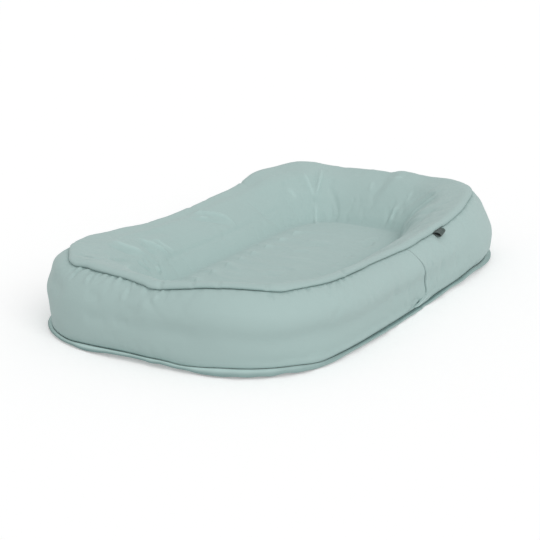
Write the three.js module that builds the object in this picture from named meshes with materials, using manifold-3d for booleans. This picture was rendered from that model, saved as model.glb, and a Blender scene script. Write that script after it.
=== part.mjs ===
// Infant lounger: a puffed ring bolster round a low sleeping pad, inside one zipped cotton cover.
// Millimetres. +X runs along the length to the head end, +Z is up, and the origin is on the floor
// under the middle. The long side that carries the loop label is at -Y.

import * as THREE from 'three';
import Module from 'manifold-3d';
import { mergeVertices } from 'three/addons/utils/BufferGeometryUtils.js';

const wasm = await Module();
wasm.setup();

// Plan of the lower seam, which the whole cushion follows
const half_length = 435;
const half_width = 272;
const waist_share = 0.076;
const outer_taper_share = -0.014;
const inner_taper_share = 0.019;
const sleeping_place_shift = 8.7;
const ring_steps_per_quarter = 12;
const corner_weight = 130;

// How square each ring of the cushion is in plan: the power of its superellipse
const lower_seam_power = 3.4;
const top_seam_power = 3.7;
const crown_power = 2.8;
const crease_power = 4.1;
const zip_slot_power = 4;

// Section of the cushion
const lower_seam_height = 10;
const top_seam_height = 117;
const crown_height = 120;
const crease_height = 38;
const floor_height = 42;
const belly = 3;
const top_seam_inset = 26;
const bolster_width = 157;
const side_dip = 18;

// Cloth and the room between layers
const cover_cloth = 1.4;
const base_cloth = 1.2;
const liner_cloth = 1;
const layer_gap = 0.5;

// Cover base
const base_rim_height = 8.3;
const base_rim_inset = 0.5;
const base_round_width = 28;
const panel_gap = 0.4;

// Folded binding round the lower seam
const binding_width = 9;
const binding_thickness = 3;
const binding_drop = 6.8;
const binding_gap = 0.6;

// Rolled lip where the top panel laps the side band
const lip_overlap = 4.5;

// Bolster and pad inside the cover
const bolster_wall_inset = 150;
const pad_side_gap = 1;
const liner_seam_gap = 0.8;
const filling_gap = 0.6;
const liner_edge_share = 0.3;
const pad_top_round = 15;
const liner_corner = 3;
const floor_edge_width = 33;

// Zip in the base
const zip_height = 7.4;
const zip_gap = 0.3;
const tape_thickness = 0.8;
const tape_width = 10;
const tape_end = 6;
const coil_width = 2.5;
const coil_height = 2.2;
const coil_slot = 1.4;
const zip_slot_half_width = 8;
const zip_slot_end = 22;
const zip_ledge_width = 6.5;
const zip_ramp_width = 20;
const zip_room = 3;
const zip_end_room = 9.3;

// The zip and its trough end this side of the pad's rounded ends
const pad_inset = bolster_wall_inset + pad_side_gap;
const pad_flat_half_length = half_length - pad_inset - pad_top_round / 2 - sleeping_place_shift;
const trough_end = zip_slot_end + zip_ledge_width + zip_ramp_width + zip_end_room;
const zip_half_length = pad_flat_half_length - trough_end;

// Zip stops
const stop_length = 3;
const stop_height = 3.8;
const stop_clearance = 0.5;

// Zip slider and its pull
const slider_length = 11;
const slider_front_width = 11;
const slider_rear_width = 8.4;
const slider_corner = 1.5;
const slider_plate = 1.3;
const slider_rim_width = 0.8;
const slider_rim_gap = 0.4;
const arch_span = 8.2;
const arch_width = 1.4;
const arch_thickness = 1.1;
const arch_room = 2.2;
const pull_length = 24;
const pull_width = 7;
const pull_thickness = 1.2;
const pull_eye_length = 6;
const pull_eye_width = 3;
const pull_corner = 1.6;

// Loop label in the top seam
const label_position = 109;
const label_width = 30;
const label_length = 11;
const label_cloth = 0.7;
const label_fold_gap = 1.1;
const label_start_share = 0.7;
const label_stand = 4;

// Shares of the section that its outline points follow: height, belly and draw-in of the side wall
const wall_shares = [
  [0, 0, 0],
  [0.2, 0.8, 0],
  [0.42, 1, 0],
  [0.64, 0.8, 0.03],
  [0.82, 0, 0.22],
  [0.94, 0, 0.62],
  [1, 0, 0.94],
];

// Outward and up shares of the rolled lip, in and up shares of the base's round edge, and out and
// down shares of the binding
const lip_shares = [
  [1, 0.27],
  [0.5, 0.75],
  [-1, 0.95],
];
const base_shares = [
  [0, 1],
  [0.4, 0.3],
  [1, 0],
];
const binding_shares = [
  [0, 0],
  [0.53, 0.7],
  [0.92, 0.97],
  [1, 1],
];

// Across and up shares of the top, from the top seam over the crown and down to the crease
const top_shares = [
  [0.08, 1.01],
  [0.2, 0.99],
  [0.33, 0.9],
  [0.45, 0.79],
  [0.58, 0.64],
  [0.72, 0.45],
  [0.86, 0.21],
  [1, 0],
];
const crown_across_share = 0.31;
const floor_edge_shares = [0.45, 0.78, 1];

// A sharp bend's mitre stops growing here
const widest_mitre = 1.4;

// Small helpers

const mix = (from, to, share) => from + (to - from) * share;

function material(red, green, blue, roughness, metalness = 0) {
  const color = new THREE.Color().setRGB(red / 255, green / 255, blue / 255, THREE.SRGBColorSpace);
  return new THREE.MeshStandardMaterial({ color, roughness, metalness });
}

const cover_material = material(163, 188, 184, 0.9);
const binding_material = material(156, 181, 177, 0.9);
const liner_material = material(240, 238, 230, 0.95);
const filling_material = material(250, 250, 248, 1);
const tape_material = material(150, 176, 171, 0.85);
const coil_material = material(138, 165, 160, 0.5);
const metal_material = material(176, 178, 176, 0.35, 1);
const label_material = material(62, 84, 78, 0.8);

// A superellipse of half-axes 1, at an angle round it
function unitPlan(angle, power) {
  const across = Math.cos(angle);
  const aside = Math.sin(angle);
  const reach = (Math.abs(across) ** power + Math.abs(aside) ** power) ** (-1 / power);
  return [across * reach, aside * reach];
}

// Angles round one quarter, evenly spaced along the lower seam and closer in its corner
function quarterAngles(count) {
  const samples = 400;
  const angles = [];
  const travelled = [0];
  let last = null;
  let last_heading = Math.PI / 2;
  for (let i = 0; i <= samples; i++) {
    const angle = (i / samples) * (Math.PI / 2);
    const [x, y] = unitPlan(angle, lower_seam_power);
    const here = new THREE.Vector2(x * half_length, y * half_width);
    angles.push(angle);
    if (last) {
      const heading = Math.atan2(here.y - last.y, here.x - last.x);
      const turn = Math.abs(heading - last_heading);
      travelled.push(travelled[i - 1] + here.distanceTo(last) + turn * corner_weight);
      last_heading = heading;
    }
    last = here;
  }
  const total = travelled[samples];
  const found = [];
  for (let step = 0; step <= count; step++) {
    const wanted = (total * step) / count;
    let i = travelled.findIndex((length) => length >= wanted);
    i = Math.max(i, 1);
    const share = (wanted - travelled[i - 1]) / (travelled[i] - travelled[i - 1]);
    found.push(mix(angles[i - 1], angles[i], share));
  }
  return found;
}

const quarter = quarterAngles(ring_steps_per_quarter);
const half_ring = [...quarter, ...quarter.slice(0, -1).reverse().map((angle) => Math.PI - angle)];
const ring_angles = [...half_ring, ...half_ring.slice(1, -1).map((angle) => angle + Math.PI)];
const ring_count = ring_angles.length;
const half_count = ring_count / 2;

// A row is one ring of the cushion in section. A row with a reach is a plain rounded rectangle.
function rowPoint(row, angle) {
  const [ux, uy] = unitPlan(angle, row.power);
  if (row.reach) {
    return new THREE.Vector3(row.reach[0] * ux, row.reach[1] * uy, row.z);
  }
  const taper = mix(outer_taper_share, inner_taper_share, row.inner);
  const middle = (1 - ux * ux) ** 2;
  const x = (half_length - row.inset) * ux + sleeping_place_shift * row.inner;
  const y = (half_width - row.inset) * (1 + taper * ux) * uy * (1 - waist_share * middle);
  const z = row.z - row.lift * side_dip * middle;
  return new THREE.Vector3(x, y, z);
}

// Rows of the side wall, from the lower seam up to the top seam
const wall_rows = wall_shares.map(([up, out, drawn_in]) => ({
  inset: top_seam_inset * drawn_in - belly * out,
  z: mix(lower_seam_height, top_seam_height, up),
  power: mix(lower_seam_power, top_seam_power, up),
  lift: up,
  inner: 0,
}));

// Rows of the top, from just inside the top seam down to the crease round the floor
const top_rows = top_shares.map(([across, up]) => {
  const past_crown = Math.max(0, (across - crown_across_share) / (1 - crown_across_share));
  const before_crown = Math.min(1, across / crown_across_share);
  return {
    inset: mix(top_seam_inset, bolster_width, across),
    z: mix(crease_height, crown_height, up),
    power: mix(mix(top_seam_power, crown_power, before_crown), crease_power, past_crown),
    lift: Math.min(1, up),
    inner: past_crown,
  };
});
const crease_row = top_rows[top_rows.length - 1];
const above_crease_row = top_rows[top_rows.length - 2];

// The row at a share of the way from one row to the next
function between(from, to, share) {
  const parts = Object.keys(from).map((part) => [part, mix(from[part], to[part], share)]);
  return Object.fromEntries(parts);
}

// Rows of the floor, rising from the crease to the flat sleeping place
const floor_rows = floor_edge_shares.map((across) => ({
  ...crease_row,
  inset: bolster_width + floor_edge_width * across,
  z: mix(crease_height, floor_height, Math.sin((across * Math.PI) / 2)),
}));

// The rolled lip: it starts outside the top seam and turns up on to the crown
const top_seam_row = wall_rows[wall_rows.length - 1];
const lip_rows = lip_shares.map(([outwards, up]) => ({
  ...top_seam_row,
  inset: top_seam_inset - lip_overlap * outwards,
  z: mix(top_seam_height, crown_height, up),
}));

// Rows of the base, from its rim down to the flat that stands on the floor
const base_rows = base_shares.map(([inwards, up]) => ({
  inset: mix(base_rim_inset, base_round_width, inwards),
  z: base_rim_height * up,
  power: lower_seam_power,
  lift: 0,
  inner: 0,
}));

// Rows of the trough that the base makes over the zip, from the flat to the slot's edge
const slot_half_length = zip_half_length + zip_slot_end;
const ledge_height = zip_height - tape_thickness / 2 - zip_gap - base_cloth;
function troughRow(margin, z) {
  return {
    reach: [slot_half_length + margin, zip_slot_half_width + margin],
    power: zip_slot_power,
    z,
  };
}
const trough_rows = [
  troughRow(zip_ledge_width + zip_ramp_width, 0),
  troughRow(zip_ledge_width, ledge_height),
  troughRow(0, ledge_height),
];

// Rows moved inwards through the cloth, square to the section
function layer(rows, depth) {
  return rows.map((row, i) => {
    const before = rows[Math.max(i - 1, 0)];
    const after = rows[Math.min(i + 1, rows.length - 1)];
    const arriving = new THREE.Vector2(row.inset - before.inset, row.z - before.z).normalize();
    const leaving = new THREE.Vector2(after.inset - row.inset, after.z - row.z).normalize();
    const along = arriving.clone().add(leaving).normalize();
    const known = i > 0 ? arriving : leaving;
    const mitre = Math.min(1 / along.dot(known), widest_mitre);
    return { ...row, inset: row.inset + along.y * depth * mitre, z: row.z - along.x * depth * mitre };
  });
}

const raised = (rows, height) => rows.map((row) => ({ ...row, z: row.z + height }));
const placed = (rows, angles) => rows.map((row) => angles.map((angle) => rowPoint(row, angle)));

// A closed mesh from faces written as corner points, turned to face out
function closedMesh(faces) {
  const positions = [];
  let volume = 0;
  for (const [a, b, c] of faces) {
    volume += a.dot(new THREE.Vector3().crossVectors(b, c));
  }
  for (const [a, b, c] of faces) {
    const corners = volume > 0 ? [a, b, c] : [a, c, b];
    corners.forEach((corner) => positions.push(corner.x, corner.y, corner.z));
  }
  const geometry = new THREE.BufferGeometry();
  geometry.setAttribute('position', new THREE.Float32BufferAttribute(positions, 3));
  const merged = mergeVertices(geometry);
  merged.computeVertexNormals();
  return merged;
}

// Faces between neighbouring rows of points
function gridFaces(grid, wraps) {
  const faces = [];
  const columns = grid[0].length;
  const last_column = wraps ? columns : columns - 1;
  for (let i = 0; i + 1 < grid.length; i++) {
    for (let j = 0; j < last_column; j++) {
      const k = (j + 1) % columns;
      faces.push([grid[i][j], grid[i][k], grid[i + 1][k]]);
      faces.push([grid[i][j], grid[i + 1][k], grid[i + 1][j]]);
    }
  }
  return faces;
}

// Faces that close a whole ring from its far half straight across to its near half
function capFaces(ring) {
  const faces = [];
  for (let i = 0; i < half_count; i++) {
    const far = ring[i];
    const far_next = ring[i + 1];
    const near = ring[(ring_count - i) % ring_count];
    const near_next = ring[ring_count - i - 1];
    if (i + 1 < half_count) faces.push([far, far_next, near_next]);
    if (i > 0 && i + 1 < half_count) faces.push([far, near_next, near]);
    if (i + 1 === half_count) faces.push([far, far_next, near]);
  }
  return faces;
}

// Faces turned the other way
const flipped = (faces) => faces.map(([a, b, c]) => [a, c, b]);

// A sheet of cloth that goes all the way round, open in the middle or closed across it
function ringSheet(outer_rows, inner_rows, closed_across) {
  const outer = placed(outer_rows, ring_angles);
  const inner = placed(inner_rows, ring_angles);
  const faces = [...gridFaces(outer, true), ...flipped(gridFaces(inner, true))];
  faces.push(...gridFaces([inner[0], outer[0]], true));
  if (closed_across) {
    faces.push(...sideOfCap(outer), ...flipped(sideOfCap(inner)));
  } else {
    faces.push(...gridFaces([outer[outer.length - 1], inner[inner.length - 1]], true));
  }
  return closedMesh(faces);
}

// The cap of a grid's last row, facing the way the grid does
function sideOfCap(grid) {
  return capFaces(grid[grid.length - 1]);
}

// A sheet of cloth along part of the ring
function stripSheet(outer_rows, inner_rows, angles, moved = (point) => point) {
  const outer = placed(outer_rows, angles).map((row) => row.map(moved));
  const inner = placed(inner_rows, angles).map((row) => row.map(moved));
  const faces = [...gridFaces(outer, false), ...flipped(gridFaces(inner, false))];
  faces.push(...gridFaces([inner[0], outer[0]], false));
  faces.push(...gridFaces([outer[outer.length - 1], inner[inner.length - 1]], false));
  const end = angles.length - 1;
  faces.push(...gridFaces([outer.map((row) => row[0]), inner.map((row) => row[0])], false));
  faces.push(...gridFaces([inner.map((row) => row[end]), outer.map((row) => row[end])], false));
  return closedMesh(faces);
}

// A filled ring, from the rows round its section
function ringSolid(rows) {
  const grid = placed([...rows, rows[0]], ring_angles);
  return closedMesh(gridFaces(grid, true));
}

// A filled pad, from the rows between the middle of its top and the middle of its underside
function padSolid(rows) {
  const grid = placed(rows, ring_angles);
  const faces = gridFaces(grid, true);
  faces.push(...sideOfCap(grid), ...flipped(capFaces(grid[0])));
  return closedMesh(faces);
}

function box(x, y, z) {
  const geometry = new THREE.BoxGeometry(x[1] - x[0], y[1] - y[0], z[1] - z[0]);
  geometry.translate((x[0] + x[1]) / 2, (y[0] + y[1]) / 2, (z[0] + z[1]) / 2);
  return geometry;
}

function toManifold(geometry) {
  const bare = geometry.clone();
  bare.deleteAttribute('normal');
  bare.deleteAttribute('uv');
  const merged = mergeVertices(bare);
  const vertProperties = new Float32Array(merged.attributes.position.array);
  const triVerts = new Uint32Array(merged.index.array);
  return new wasm.Manifold(new wasm.Mesh({ numProp: 3, vertProperties, triVerts }));
}

function toGeometry(manifold) {
  const mesh = manifold.getMesh();
  const geometry = new THREE.BufferGeometry();
  geometry.setAttribute('position', new THREE.Float32BufferAttribute(mesh.vertProperties, 3));
  geometry.setIndex(Array.from(mesh.triVerts));
  geometry.computeVertexNormals();
  return geometry;
}

// The assembly

const lounger = new THREE.Group();

function add(name, geometry, node_material, position = [0, 0, 0]) {
  const mesh = new THREE.Mesh(geometry, node_material);
  mesh.name = name;
  mesh.position.set(...position);
  lounger.add(mesh);
}

const far_half = ring_angles.slice(0, half_count + 1);
const near_half = [...ring_angles.slice(half_count), Math.PI * 2];
const quarter_count = half_count / 2;
const head_half = [
  ...ring_angles.slice(3 * quarter_count),
  ...ring_angles.slice(0, quarter_count + 1),
];
const foot_half = ring_angles.slice(quarter_count, 3 * quarter_count + 1);

// Top panel: one cloth over the crown, down the inner wall and across the floor
function topPanel() {
  const rows = [...lip_rows, ...top_rows, ...floor_rows];
  return ringSheet(rows, layer(rows, cover_cloth), true);
}

// Side band: two strips, joined at the middle of each long side
function bandStrip(angles, side) {
  const halfGap = (point) => {
    const clear = Math.abs(point.x) < panel_gap;
    return clear ? point.clone().setX((side * panel_gap) / 2) : point;
  };
  return stripSheet(wall_rows, layer(wall_rows, cover_cloth), angles, halfGap);
}

// Base panel: one half of the base, from its rim to the zip slot and the middle line
function basePanel(angles, side) {
  const halfGap = (point) => {
    const clear = Math.abs(point.y) < panel_gap;
    return clear ? point.clone().setY((side * panel_gap) / 2) : point;
  };
  const upper = [...layer(base_rows, -base_cloth), ...raised(trough_rows, base_cloth)];
  return stripSheet([...base_rows, ...trough_rows], upper, angles, halfGap);
}

// Binding: a folded strip round the edges of band and base, its ends meeting at the near join
function edgeBinding() {
  const half = binding_thickness / 2;
  const rows = binding_shares.map(([outwards, down]) => ({
    ...wall_rows[0],
    inset: -mix(binding_gap, binding_width, outwards),
    z: lower_seam_height - half - binding_drop * down,
  }));
  const outer_edge = rows.pop();
  const upper = raised(rows, half);
  const lower = raised(rows, -half);
  const start = ring_angles[3 * quarter_count];
  const angles = ring_angles.map((_, i) => ring_angles[(i + 3 * quarter_count) % ring_count]);
  const halfGap = (point, i) => {
    const at_end = i === 0 || i === ring_count;
    return at_end ? point.clone().setX((i === 0 ? 1 : -1) * panel_gap) : point;
  };
  const place = (row) => placed([row], [...angles, start])[0].map(halfGap);
  const section = [...upper, outer_edge, ...lower.reverse()];
  const grid = section.map(place);
  const faces = gridFaces([...grid, grid[0]], false);
  const first = grid.map((row) => row[0]);
  const last = grid.map((row) => row[ring_count]);
  for (let i = 1; i + 1 < grid.length; i++) {
    faces.push([first[0], first[i], first[i + 1]]);
    faces.push([last[0], last[i + 1], last[i]]);
  }
  return closedMesh(faces);
}

// Bolster: filling in a case of an upper and a lower ring of liner cloth
const cover_depth = cover_cloth + layer_gap;
const filling_depth = cover_depth + liner_cloth + filling_gap;
const wall_reach = bolster_wall_inset - above_crease_row.inset;
const case_edge_share = wall_reach / (crease_row.inset - above_crease_row.inset);
const case_edge_row = between(above_crease_row, crease_row, case_edge_share);
const case_rows = [...wall_rows, ...top_rows.slice(0, -1), case_edge_row];

function caseFloorRows() {
  const lifted = layer(base_rows, -(base_cloth + layer_gap));
  const flat_z = base_cloth + layer_gap;
  const wall_row = { ...crease_row, inset: bolster_wall_inset, lift: 0 };
  return [
    between(lifted[0], lifted[1], liner_edge_share),
    ...lifted.slice(1),
    { ...wall_row, inset: bolster_wall_inset - liner_corner, z: flat_z },
    { ...wall_row, z: flat_z + liner_corner },
    { ...case_edge_row, z: case_edge_row.z - cover_depth - liner_seam_gap },
  ];
}

function bolsterLinerUpper() {
  const outer = layer(case_rows, cover_depth);
  const inner = layer(case_rows, cover_depth + liner_cloth);
  return ringSheet(outer, inner, false);
}

function bolsterLinerLower() {
  const rows = caseFloorRows();
  return ringSheet(rows, layer(rows, -liner_cloth), false);
}

function bolsterFilling() {
  const upper = layer(case_rows, filling_depth);
  const lower = layer(caseFloorRows(), -(liner_cloth + filling_gap)).slice(1, -1);
  return ringSolid([...upper, ...lower.reverse()]);
}

// Pad: filling in a case of an upper and a lower panel, its underside hollowed over the zip
const pad_seam_height = crease_height / 2;

function padTopRows() {
  const side = { ...crease_row, inset: pad_inset, lift: 0 };
  const under_floor = layer([crease_row, ...floor_rows], cover_depth).slice(1);
  return [
    { ...side, z: pad_seam_height + liner_seam_gap / 2 },
    { ...side, z: crease_height - pad_top_round / 2 },
    ...under_floor,
  ];
}

function padUnderRows() {
  const side = { ...crease_row, inset: pad_inset, lift: 0 };
  const flat_z = base_cloth + layer_gap;
  const zip_top = zip_height + coil_height / 2 + zip_gap + slider_plate + zip_room / 2;
  const rows = [
    { ...side, z: pad_seam_height - liner_seam_gap / 2 },
    { ...side, z: pad_top_round / 2 },
    { ...side, inset: pad_inset + pad_top_round / 2, z: flat_z },
  ];
  const over_zip = [
    { ...troughRow(zip_ledge_width + zip_ramp_width, flat_z) },
    { ...troughRow(zip_ledge_width, zip_top) },
    { ...troughRow(0, zip_top) },
  ];
  return { rows, over_zip };
}

function padLinerUpper() {
  const rows = padTopRows();
  return ringSheet(rows, layer(rows, liner_cloth), true);
}

function padLinerLower() {
  const { rows, over_zip } = padUnderRows();
  const outer = [...rows, ...over_zip];
  const inner = [...layer(rows, -liner_cloth), ...raised(over_zip, liner_cloth)];
  return ringSheet(outer, inner, true);
}

function padFilling() {
  const depth = liner_cloth + filling_gap;
  const { rows, over_zip } = padUnderRows();
  const top = layer(padTopRows(), depth);
  const under = [...layer(rows, -depth).slice(1), ...raised(over_zip, depth)];
  return padSolid([...top.slice(1).reverse(), ...under]);
}

// Zip: two tapes with their coils, stops, slider and pull
const coil_inner = coil_slot / 2;
const coil_outer = coil_inner + coil_width;
const tape_inner = coil_outer + zip_gap;
const coil_z = [zip_height - coil_height / 2, zip_height + coil_height / 2];
const slider_rest = zip_half_length - stop_length - stop_clearance - slider_length / 2;

function across(side, from, to) {
  return side > 0 ? [from, to] : [-to, -from];
}

function zipTape(side) {
  const half = zip_half_length + tape_end;
  const z = [zip_height - tape_thickness / 2, zip_height + tape_thickness / 2];
  return box([-half, half], across(side, tape_inner, tape_inner + tape_width), z);
}

function zipCoil(side) {
  const half = zip_half_length - stop_length - zip_gap;
  return box([-half, half], across(side, coil_inner, coil_outer), coil_z);
}

const stop_z = [zip_height - stop_height / 2, zip_height + stop_height / 2];

function topStop(side) {
  const end = zip_half_length;
  return box([end - stop_length, end], across(side, coil_inner, coil_outer), stop_z);
}

function bottomStop() {
  const end = -zip_half_length;
  return box([end, end + stop_length], [-coil_outer, coil_outer], stop_z);
}

// Heights of the slider's plates, counted down from the zip's own level
const plate_gap = coil_height / 2 + zip_gap;
const plate_out = plate_gap + slider_plate;
const arch_inside = plate_out + arch_room;
const pull_axis_drop = plate_out + arch_room / 2;

function sliderBody() {
  const half = slider_front_width / 2;
  const web = coil_inner - zip_gap;
  const rim = tape_thickness / 2 + slider_rim_gap;
  const side_wall = half - slider_rim_width;
  const section = new THREE.Shape();
  const quarter_outline = [
    [web, 0],
    [web, plate_gap],
    [side_wall, plate_gap],
    [side_wall, rim],
    [half, rim],
    [half, plate_out],
  ];
  const mirrored_y = quarter_outline.map(([y, z]) => [-y, z]).reverse();
  const upper = [...quarter_outline, ...mirrored_y];
  const lower = upper.map(([y, z]) => [-y, -z]).slice(1, -1);
  section.setFromPoints([...upper, ...lower].map(([y, z]) => new THREE.Vector2(y, z)));
  const body = new THREE.ExtrudeGeometry(section, { depth: slider_length, bevelEnabled: false });
  body.translate(0, 0, -slider_length / 2);
  body.rotateX(Math.PI / 2);
  body.rotateZ(Math.PI / 2);

  const front = slider_front_width / 2;
  const rear = slider_rear_width / 2;
  const reach = slider_length / 2;
  const plan = new THREE.Shape();
  plan.moveTo(-reach, -rear);
  plan.lineTo(reach - slider_corner, -front);
  plan.quadraticCurveTo(reach, -front, reach, -front + slider_corner);
  plan.lineTo(reach, front - slider_corner);
  plan.quadraticCurveTo(reach, front, reach - slider_corner, front);
  plan.lineTo(-reach, rear);
  const tall = { depth: 2 * plate_out + slider_plate, bevelEnabled: false, curveSegments: 4 };
  const outline = new THREE.ExtrudeGeometry(plan, tall);
  outline.translate(0, 0, -tall.depth / 2);

  const arch = new THREE.Shape();
  const span = arch_span / 2;
  const foot = plate_out - slider_plate / 2;
  arch.moveTo(-span, -foot);
  arch.lineTo(-span, -arch_inside - arch_thickness);
  arch.lineTo(span, -arch_inside - arch_thickness);
  arch.lineTo(span, -foot);
  arch.lineTo(span - arch_thickness, -foot);
  arch.lineTo(span - arch_thickness, -arch_inside);
  arch.lineTo(-span + arch_thickness, -arch_inside);
  arch.lineTo(-span + arch_thickness, -foot);
  const bridge = new THREE.ExtrudeGeometry(arch, { depth: arch_width, bevelEnabled: false });
  bridge.translate(0, 0, -arch_width / 2);
  bridge.rotateX(Math.PI / 2);
  return toGeometry(toManifold(body).intersect(toManifold(outline)).add(toManifold(bridge)));
}

function sliderPull() {
  const eye = pull_eye_width / 2;
  const half = pull_width / 2;
  const bar = pull_thickness / 2;
  const plate = new THREE.Shape();
  plate.moveTo(bar, -half);
  plate.lineTo(bar, half);
  plate.lineTo(-pull_length + pull_corner, half);
  plate.quadraticCurveTo(-pull_length, half, -pull_length, half - pull_corner);
  plate.lineTo(-pull_length, -half + pull_corner);
  plate.quadraticCurveTo(-pull_length, -half, -pull_length + pull_corner, -half);
  const hole = new THREE.Path();
  hole.moveTo(-bar, -eye);
  hole.lineTo(-bar - pull_eye_length, -eye);
  hole.lineTo(-bar - pull_eye_length, eye);
  hole.lineTo(-bar, eye);
  plate.holes.push(hole);
  const flat = { depth: pull_thickness, bevelEnabled: false, curveSegments: 4 };
  const geometry = new THREE.ExtrudeGeometry(plate, flat);
  geometry.translate(0, 0, -bar);
  return geometry;
}

// Loop label: a strip folded double, standing out from under the lip over the near side band
function loopLabel() {
  const from = wall_rows[wall_rows.length - 1];
  const to = wall_rows[wall_rows.length - 2];
  const slope = Math.hypot(from.inset - to.inset, from.z - to.z);
  const down = (length) => length / slope;
  const along = (share) => ({
    ...from,
    inset: mix(from.inset, to.inset, share),
    z: mix(from.z, to.z, share),
    lift: mix(from.lift, to.lift, share),
    power: mix(from.power, to.power, share),
  });
  const start = lip_overlap * label_start_share;
  const fold = label_length - label_cloth;
  const stand = (length) => (label_stand * (length - start)) / (label_length - start);
  const depths = [
    layer_gap,
    layer_gap + label_cloth,
    layer_gap + label_cloth + label_fold_gap,
    layer_gap + label_cloth * 2 + label_fold_gap,
  ];
  const normal = new THREE.Vector2(to.z - from.z, from.inset - to.inset).normalize();
  const at = (length, level) => {
    const row = along(down(length));
    const off = depths[level] + stand(length);
    return { ...row, inset: row.inset + normal.x * off, z: row.z + normal.y * off };
  };
  const section = [
    at(start, 0),
    at(label_length, 0),
    at(label_length, 3),
    at(start, 3),
    at(start, 2),
    at(fold, 2),
    at(fold, 1),
    at(start, 1),
  ];
  const sideAngle = (x) => Math.PI * 2 - Math.atan2(1, x / half_length);
  const angles = [label_position - label_width / 2, label_position + label_width / 2].map(sideAngle);
  const grid = section.map((row) => angles.map((angle) => rowPoint(row, angle)));
  const faces = gridFaces([...grid, grid[0]], false);
  const quads = [
    [0, 1, 6, 7],
    [1, 2, 5, 6],
    [2, 3, 4, 5],
  ];
  for (const [a, b, c, d] of quads) {
    faces.push([grid[a][0], grid[b][0], grid[c][0]], [grid[a][0], grid[c][0], grid[d][0]]);
    faces.push([grid[a][1], grid[c][1], grid[b][1]], [grid[a][1], grid[d][1], grid[c][1]]);
  }
  return closedMesh(faces);
}

add('top_panel', topPanel(), cover_material);
add('side_band_foot', bandStrip(foot_half, -1), cover_material);
add('side_band_head', bandStrip(head_half, 1), cover_material);
add('base_panel_near', basePanel(near_half, -1), cover_material);
add('base_panel_far', basePanel(far_half, 1), cover_material);
add('edge_binding', edgeBinding(), binding_material);
add('loop_label', loopLabel(), label_material);
add('bolster_liner_upper', bolsterLinerUpper(), liner_material);
add('bolster_liner_lower', bolsterLinerLower(), liner_material);
add('bolster_filling', bolsterFilling(), filling_material);
add('pad_liner_upper', padLinerUpper(), liner_material);
add('pad_liner_lower', padLinerLower(), liner_material);
add('pad_filling', padFilling(), filling_material);
for (const [name, side] of [['near', -1], ['far', 1]]) {
  add(`zip_tape_${name}`, zipTape(side), tape_material);
  add(`zip_coil_${name}`, zipCoil(side), coil_material);
  add(`zip_top_stop_${name}`, topStop(side), metal_material);
}
add('zip_bottom_stop', bottomStop(), metal_material);
add('zip_slider', sliderBody(), metal_material, [slider_rest, 0, zip_height]);
add('zip_pull', sliderPull(), metal_material, [slider_rest, 0, zip_height - pull_axis_drop]);

export default lounger;
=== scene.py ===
"""Infant lounger: the sewn cover, filling and zip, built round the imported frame."""

import math

import bmesh
import bpy
import numpy as np
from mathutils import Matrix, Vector


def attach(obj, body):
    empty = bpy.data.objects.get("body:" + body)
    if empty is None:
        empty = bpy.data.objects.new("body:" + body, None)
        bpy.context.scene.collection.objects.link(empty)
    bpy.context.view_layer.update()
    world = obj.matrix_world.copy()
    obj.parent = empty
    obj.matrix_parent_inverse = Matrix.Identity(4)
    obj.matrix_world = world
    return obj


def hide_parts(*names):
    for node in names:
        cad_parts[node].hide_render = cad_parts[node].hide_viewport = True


bl_info = {
    "name": "Infant Lounger",
    "version": (1, 0, 0),
    "blender": (4, 5, 0),
    "location": "3D View > Sidebar > Lounger",
    "description": "Builds a puffed infant lounger with its cover, binding, filling and zip",
    "category": "Add Mesh",
}

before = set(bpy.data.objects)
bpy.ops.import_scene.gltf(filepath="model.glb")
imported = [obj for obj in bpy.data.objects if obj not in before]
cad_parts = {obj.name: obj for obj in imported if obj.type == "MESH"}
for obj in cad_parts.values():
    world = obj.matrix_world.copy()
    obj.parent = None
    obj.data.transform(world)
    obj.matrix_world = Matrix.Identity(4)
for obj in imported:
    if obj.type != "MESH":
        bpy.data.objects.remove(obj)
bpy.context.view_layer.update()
MM = 0.001
CUSHION = "cushion"


# Plan and section of the cushion, in millimetres, as the frame has them

HALF_LENGTH = 435
HALF_WIDTH = 272
WAIST = 0.076
OUTER_TAPER = -0.014
INNER_TAPER = 0.019
NEST_SHIFT = 8.7
SIDE_DIP = 18
SEAM_LOW = 10
SEAM_TOP = 117
TOP_INSET = 26
BELLY = 3
CREASE = 38
CROWN = 120
FLOOR = 42
BOLSTER = 157
FLOOR_EDGE = 33

# The section's knots. Up the wall: shares of its height, its belly and the top seam's inset.
# Over the bolster: shares of the way across, and up from the crease to the crown. Then how far on
# to the floor.
WALL_SHARES = [(0, 0, 0), (0.2, 0.8, 0), (0.42, 1, 0), (0.64, 0.8, 0.03), (0.82, 0, 0.22),
               (0.94, 0, 0.62), (1, 0, 0.94)]
TOP_SHARES = [(0.08, 1.01), (0.2, 0.99), (0.33, 0.9), (0.45, 0.79), (0.58, 0.64), (0.72, 0.45),
              (0.86, 0.21), (1, 0)]
FLOOR_SHARES = [0.45, 0.78, 1]
CROWN_SHARE = 0.31
# How square the plan is at the lower seam, the top seam, the crown and the nest
LOW_POWER, SEAM_POWER, CROWN_POWER, NEST_POWER = 3.4, 3.7, 2.8, 4.1

# The inner cases, the label and the zip
CASE_DEPTH = 5.2
CASE_CLOTH = 1.0
CASE_INSET = 150
PAD_INSET = 151
LABEL_AT = 109
ZIP_HALF = 210
ZIP_LEVEL = 7.4
SLOT_LONG = ZIP_HALF + 22
SLOT_WIDE = 8
SLOT_POWER = 4
# Small steps of angle and reach that give the cloth's directions
TURN_STEP, CLIMB_STEP = 2e-3, 0.6


def mix(a, b, share):
    return a + (b - a) * share


def smooth(value):
    """Rises gently from 0 to 1 as value does."""
    value = np.clip(value, 0, 1)
    return value * value * (3 - 2 * value)


def bell(off, width):
    """A soft bump: 1 where off is 0, and about a third of that one width away."""
    return np.exp(-(off / width) ** 2)


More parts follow.
